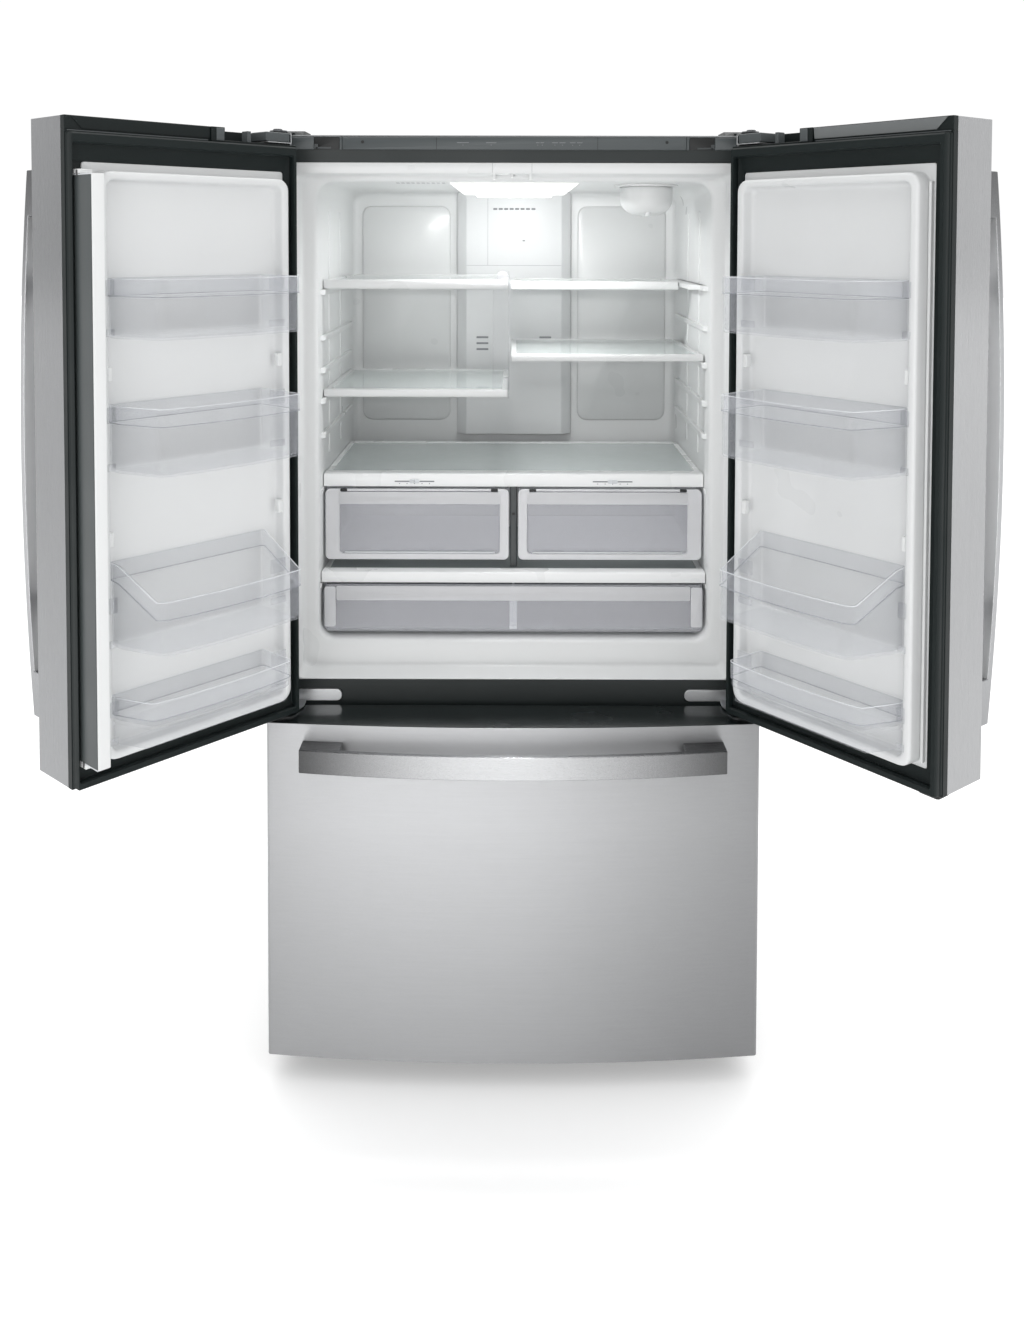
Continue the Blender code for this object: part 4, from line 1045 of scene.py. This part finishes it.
def make_door_seal(side, place):
    """The magnetic gasket: its ribbed ring, and on the left door a low free side under the folding bar."""
    outer = (-0.4415, -0.0048, 0.685, 1.7285)
    inner = (-0.4215, -0.0304 if place.mirrored else -0.0098, 0.719, 1.6832)
    ring = seal_ring(outer, inner, 0.003, (
        (0.0, -0.0237), (0.0, -0.0195), (0.05, -0.018), (0.02, -0.015), (0.02, -0.007), (0.08, -0.004),
        (0.34, -0.004), (0.4, -0.007), (0.4, -0.015), (0.37, -0.018), (0.44, -0.0195), (1.0, -0.0202),
        (1.0, -0.0237)))
    if not place.mirrored:
        for point in ring.verts:
            if point.co.x > inner[1] - 0.001 and 0.72 < point.co.z < 1.708:
                point.co.y = min(point.co.y, -0.013)
    add(f"{side}_seal", ring, place, rubber, replaces=[f"{side}_door_gasket"])


def make_flipper():
    """A white bar with a dark panel on the face that closes the gap between the doors."""
    place = Place("flipper", opened("left_door_hinge"))
    low, top = 0.7302, 1.6618
    body = soft_rectangle(-0.0335, -0.0118, -0.0175, 0.0445, 0.003)
    add("flipper_bar", prism(body, low, top), place, white, 0.001, 3, replaces=["door_flipper"])
    face = soft_rectangle(-0.0122, -0.0106, -0.0165, 0.0425, 0.0006)
    add("flipper_face", prism(face, low + 0.002, top - 0.002), place, flipper_grey, 0.0004)
    edges = [box(-0.0121, -0.0104, -0.0176, -0.0164, low + 0.001, top - 0.001),
             box(-0.0121, -0.0104, -0.0176, 0.044, low, low + 0.0018),
             box(-0.0121, -0.0104, -0.0176, 0.044, top - 0.0018, top)]
    add("flipper_edges", joined(*edges), place, slider_grey, 0.0003)
    at = (-0.01175, 0.00175)
    pins = [rod(at, 0.003, low - 0.006, low + 0.003), rod(at, 0.003, top - 0.003, top + 0.006)]
    add("flipper_pins", joined(*pins), place, nylon, 0.0004)


# Freezer drawer

def make_freezer():
    half = CASE_HALF
    skin = prism(skin_outline(-half, half, DRAWER_BULGE, 0.006), DRAWER_LOW + 0.0004, DRAWER_TOP - 0.0004)
    add("drawer_skin", skin, DRAWER, drawer_steel, 0.0006, replaces=["freezer_front_skin"], angle=50.0)
    core = prism(core_outline(-half, half, DRAWER_BULGE, 0.006, -0.014), DRAWER_LOW, DRAWER_TOP)
    add("drawer_core", core, DRAWER, gloss_black, 0.0008, replaces=["freezer_front_frame"], angle=50.0)
    panel = (-0.4265, 0.4265, 0.083, 0.6475)
    face = nested(panel, (0.0, 0.01, -0.0136), (0.0, 0.01, -0.0122), (0.001, 0.01, -0.0112),
                  (0.035, 0.012, -0.0112), (0.038, 0.012, -0.0088), (0.046, 0.012, -0.0082))
    add("drawer_liner", basin(face), DRAWER, white, replaces=["freezer_front_liner"], angle=60.0)
    outer, inner = (-0.447, 0.447, 0.066, 0.667), (-0.4268, 0.4268, 0.0827, 0.6478)
    seal = seal_ring(outer, inner, 0.004, (
        (0.0, -0.0137), (0.0, -0.01), (0.1, -0.0085), (0.04, -0.006), (0.12, -0.0012), (0.88, -0.0012),
        (0.96, -0.006), (0.9, -0.0085), (1.0, -0.01), (1.0, -0.0137)))
    add("drawer_seal", seal, DRAWER, rubber, replaces=["freezer_gasket"])
    outline = handle_outline(0.386, 0.148, 0.178, lambda along: -front_y(along, DRAWER_BULGE) + 0.0003)
    bar = prism([(along, -out) for along, out in outline], 0.6, 0.642)
    add("drawer_handle", bar, DRAWER, handle_steel, 0.0016, 3, replaces=["freezer_handle"], angle=50.0)

    basket("lower_basket", "freezer_lower_basket", DRAWER, -0.01, 0.45, 0.12, 0.4)
    basket("upper_basket", "freezer_upper_basket", Place("upper_basket"), 0.01, 0.4, 0.44, 0.61)
    mouth = (-0.425, 0.425, 0.0853, 0.6417)
    hidden = (-0.4225, 0.4225, 0.088, 0.639)
    inside = (-0.42, 0.42, 0.0905, 0.6365)
    sections = [
        *nested(hidden, (0.0, 0.02, 0.503), (0.0, 0.02, 0.012)),
        *nested(mouth, (0.0, 0.006, 0.01), (0.0, 0.006, 0.001), (0.001, 0.006, 0.0)),
        *nested(inside, (-0.001, 0.01, 0.0), (0.0, 0.012, 0.001), (0.0, 0.02, 0.49),
                (0.004, 0.018, 0.498), (0.012, 0.014, 0.5)),
    ]
    add("freezer_tub", basin(sections), CABINET, white, replaces=["freezer_liner"], angle=60.0)


def basket(name, node, place, y0, y1, z0, z1):
    """A moulded tub with a rolled rim and rows of slots picked out on its front and sides."""
    x0, x1 = -0.39, 0.39
    plan = soft_rectangle(x0, x1, y0, y1, 0.022)
    heights = ((0.01, z0), (0.004, z0 + 0.004), (0.002, z1 - 0.022), (0.0, z1 - 0.02), (0.0, z1 - 0.001),
               (0.001, z1), (0.005, z1), (0.006, z1 - 0.001), (0.006, z0 + 0.01), (0.014, z0 + 0.004))
    add(name, tub(plan, heights), place, basket_white, replaces=[node])
    ribs = []
    for number in range(15):
        x = -0.35 + 0.05 * number
        ribs.append(box(x - 0.0015, x + 0.0015, y0 + 0.0005, y0 + 0.0035, z0 + 0.02, z1 - 0.026))
    for number in range(7):
        y = y0 + 0.05 + 0.048 * number
        for side in (-1.0, 1.0):
            a, b = sorted((side * 0.3865, side * 0.3895))
            ribs.append(box(a, b, y - 0.0015, y + 0.0015, z0 + 0.02, z1 - 0.026))
    add(name + "_ribs", joined(*ribs), place, basket_white, 0.0006)


# CAD nodes that keep their own shape

def finish_nodes():
    looks = {
        "base_frame": dark, "levelling_leg_left": zinc, "levelling_leg_right": zinc,
        "compressor": machine_black, "condenser_fan": machine_black, "rear_rollers": nylon,
        "freezer_slides": zinc,
    }
    for name, look in looks.items():
        node = frame["nodes"][name]
        node.data.materials.clear()
        node.data.materials.append(look.material)


# Floor, light and camera

def make_stage():
    floor = bpy.data.materials.new("floor")
    floor.use_nodes = True
    shader = floor.node_tree.nodes["Principled BSDF"]
    for socket, value in (("Base Color", (0.74, 0.74, 0.74, 1.0)), ("Roughness", 0.85),
                          ("Specular IOR Level", 0.2), ("Emission Color", (1.0, 1.0, 1.0, 1.0)),
                          ("Emission Strength", 0.32)):
        shader.inputs[socket].default_value = value
    size = 30.0
    mesh = bpy.data.meshes.new("floor")
    corners = [(-size, -size, 0), (size, -size, 0), (size, size, 0), (-size, size, 0)]
    mesh.from_pydata(corners, [], [(0, 1, 2, 3)])
    mesh.materials.append(floor)
    ground = bpy.data.objects.new("floor", mesh)
    ground.location.z = -0.0005
    bpy.context.collection.objects.link(ground)

    lights = (
        ("key", (-0.7, -4.4, 1.3), (0.0, 0.0, 0.7), 2.6, 2.6, 34.0),
        ("fill", (3.0, -2.2, 2.4), (0.3, 0.0, 1.0), 1.2, 1.6, 10.0),
        ("inside", (0.0, FRONT + 0.13, 1.64), (0.0, FRONT + 0.34, 1.0), 0.15, 0.05, 2.4),
    )
    for name, spot, aim, width, height, power in lights:
        area_light(name, Vector(spot), Vector(aim), width, height, power)
    bpy.context.scene.view_settings.view_transform = "Standard"


def make_world():
    """A white surround: brighter overhead, and softly darker in front of the refrigerator and far left."""
    world = bpy.data.worlds.new("studio")
    world.use_nodes = True
    tree = world.node_tree
    where = tree.nodes.new("ShaderNodeTexCoord")
    parts = tree.nodes.new("ShaderNodeSeparateXYZ")
    tree.links.new(where.outputs["Generated"], parts.inputs["Vector"])
    background = tree.nodes["Background"]
    background.inputs["Color"].default_value = (1.0, 1.0, 1.0, 1.0)
    level = None
    for axis, start, end, low, high in (("Y", -0.55, 0.3, 0.42, 1.02), ("X", -1.0, -0.45, 0.8, 1.0),
                                        ("Z", 0.25, 1.0, 1.0, 2.5)):
        ramp = tree.nodes.new("ShaderNodeMapRange")
        ramp.interpolation_type = "SMOOTHSTEP"
        tree.links.new(parts.outputs[axis], ramp.inputs["Value"])
        for name, value in (("From Min", start), ("From Max", end), ("To Min", low), ("To Max", high)):
            ramp.inputs[name].default_value = value
        if level is None:
            level = ramp.outputs["Result"]
            continue
        product = tree.nodes.new("ShaderNodeMath")
        product.operation = "MULTIPLY"
        tree.links.new(level, product.inputs[0])
        tree.links.new(ramp.outputs["Result"], product.inputs[1])
        level = product.outputs["Value"]
    tree.links.new(level, background.inputs["Strength"])
    bpy.context.scene.world = world


def area_light(name, spot, aim, width, height, power):
    light = bpy.data.lights.new(name, "AREA")
    light.shape = "RECTANGLE"
    light.size, light.size_y = width, height
    light.energy = power
    made = bpy.data.objects.new(name, light)
    made.location = spot
    made.rotation_euler = (aim - spot).to_track_quat("-Z", "Y").to_euler()
    bpy.context.collection.objects.link(made)


def make_camera():
    camera = bpy.data.cameras.new("camera")
    camera.lens = 32.773
    camera.sensor_width = 36.0
    camera.shift_y = -0.2835
    made = bpy.data.objects.new("camera", camera)
    yaw = Matrix.Rotation(0.00134, 4, "Z")
    pitch = Matrix.Rotation(-0.03992, 4, "X")
    roll = Matrix.Rotation(-0.00225, 4, "Y")
    level = Matrix.Rotation(math.pi / 2.0, 4, "X")
    made.matrix_world = Matrix.Translation((-0.0008, FRONT - 2.2838, 1.5622)) @ yaw @ pitch @ roll @ level
    bpy.context.collection.objects.link(made)
    bpy.context.scene.camera = made


make_case()
make_front()
make_fresh_liner()
make_fresh_fittings()
make_shelves()
make_crisper_area()
make_top_hinges()
make_door("left", LEFT, left_steel)
make_door("right", RIGHT, right_steel)
make_flipper()
make_freezer()
finish_nodes()
make_stage()
make_world()
make_camera()
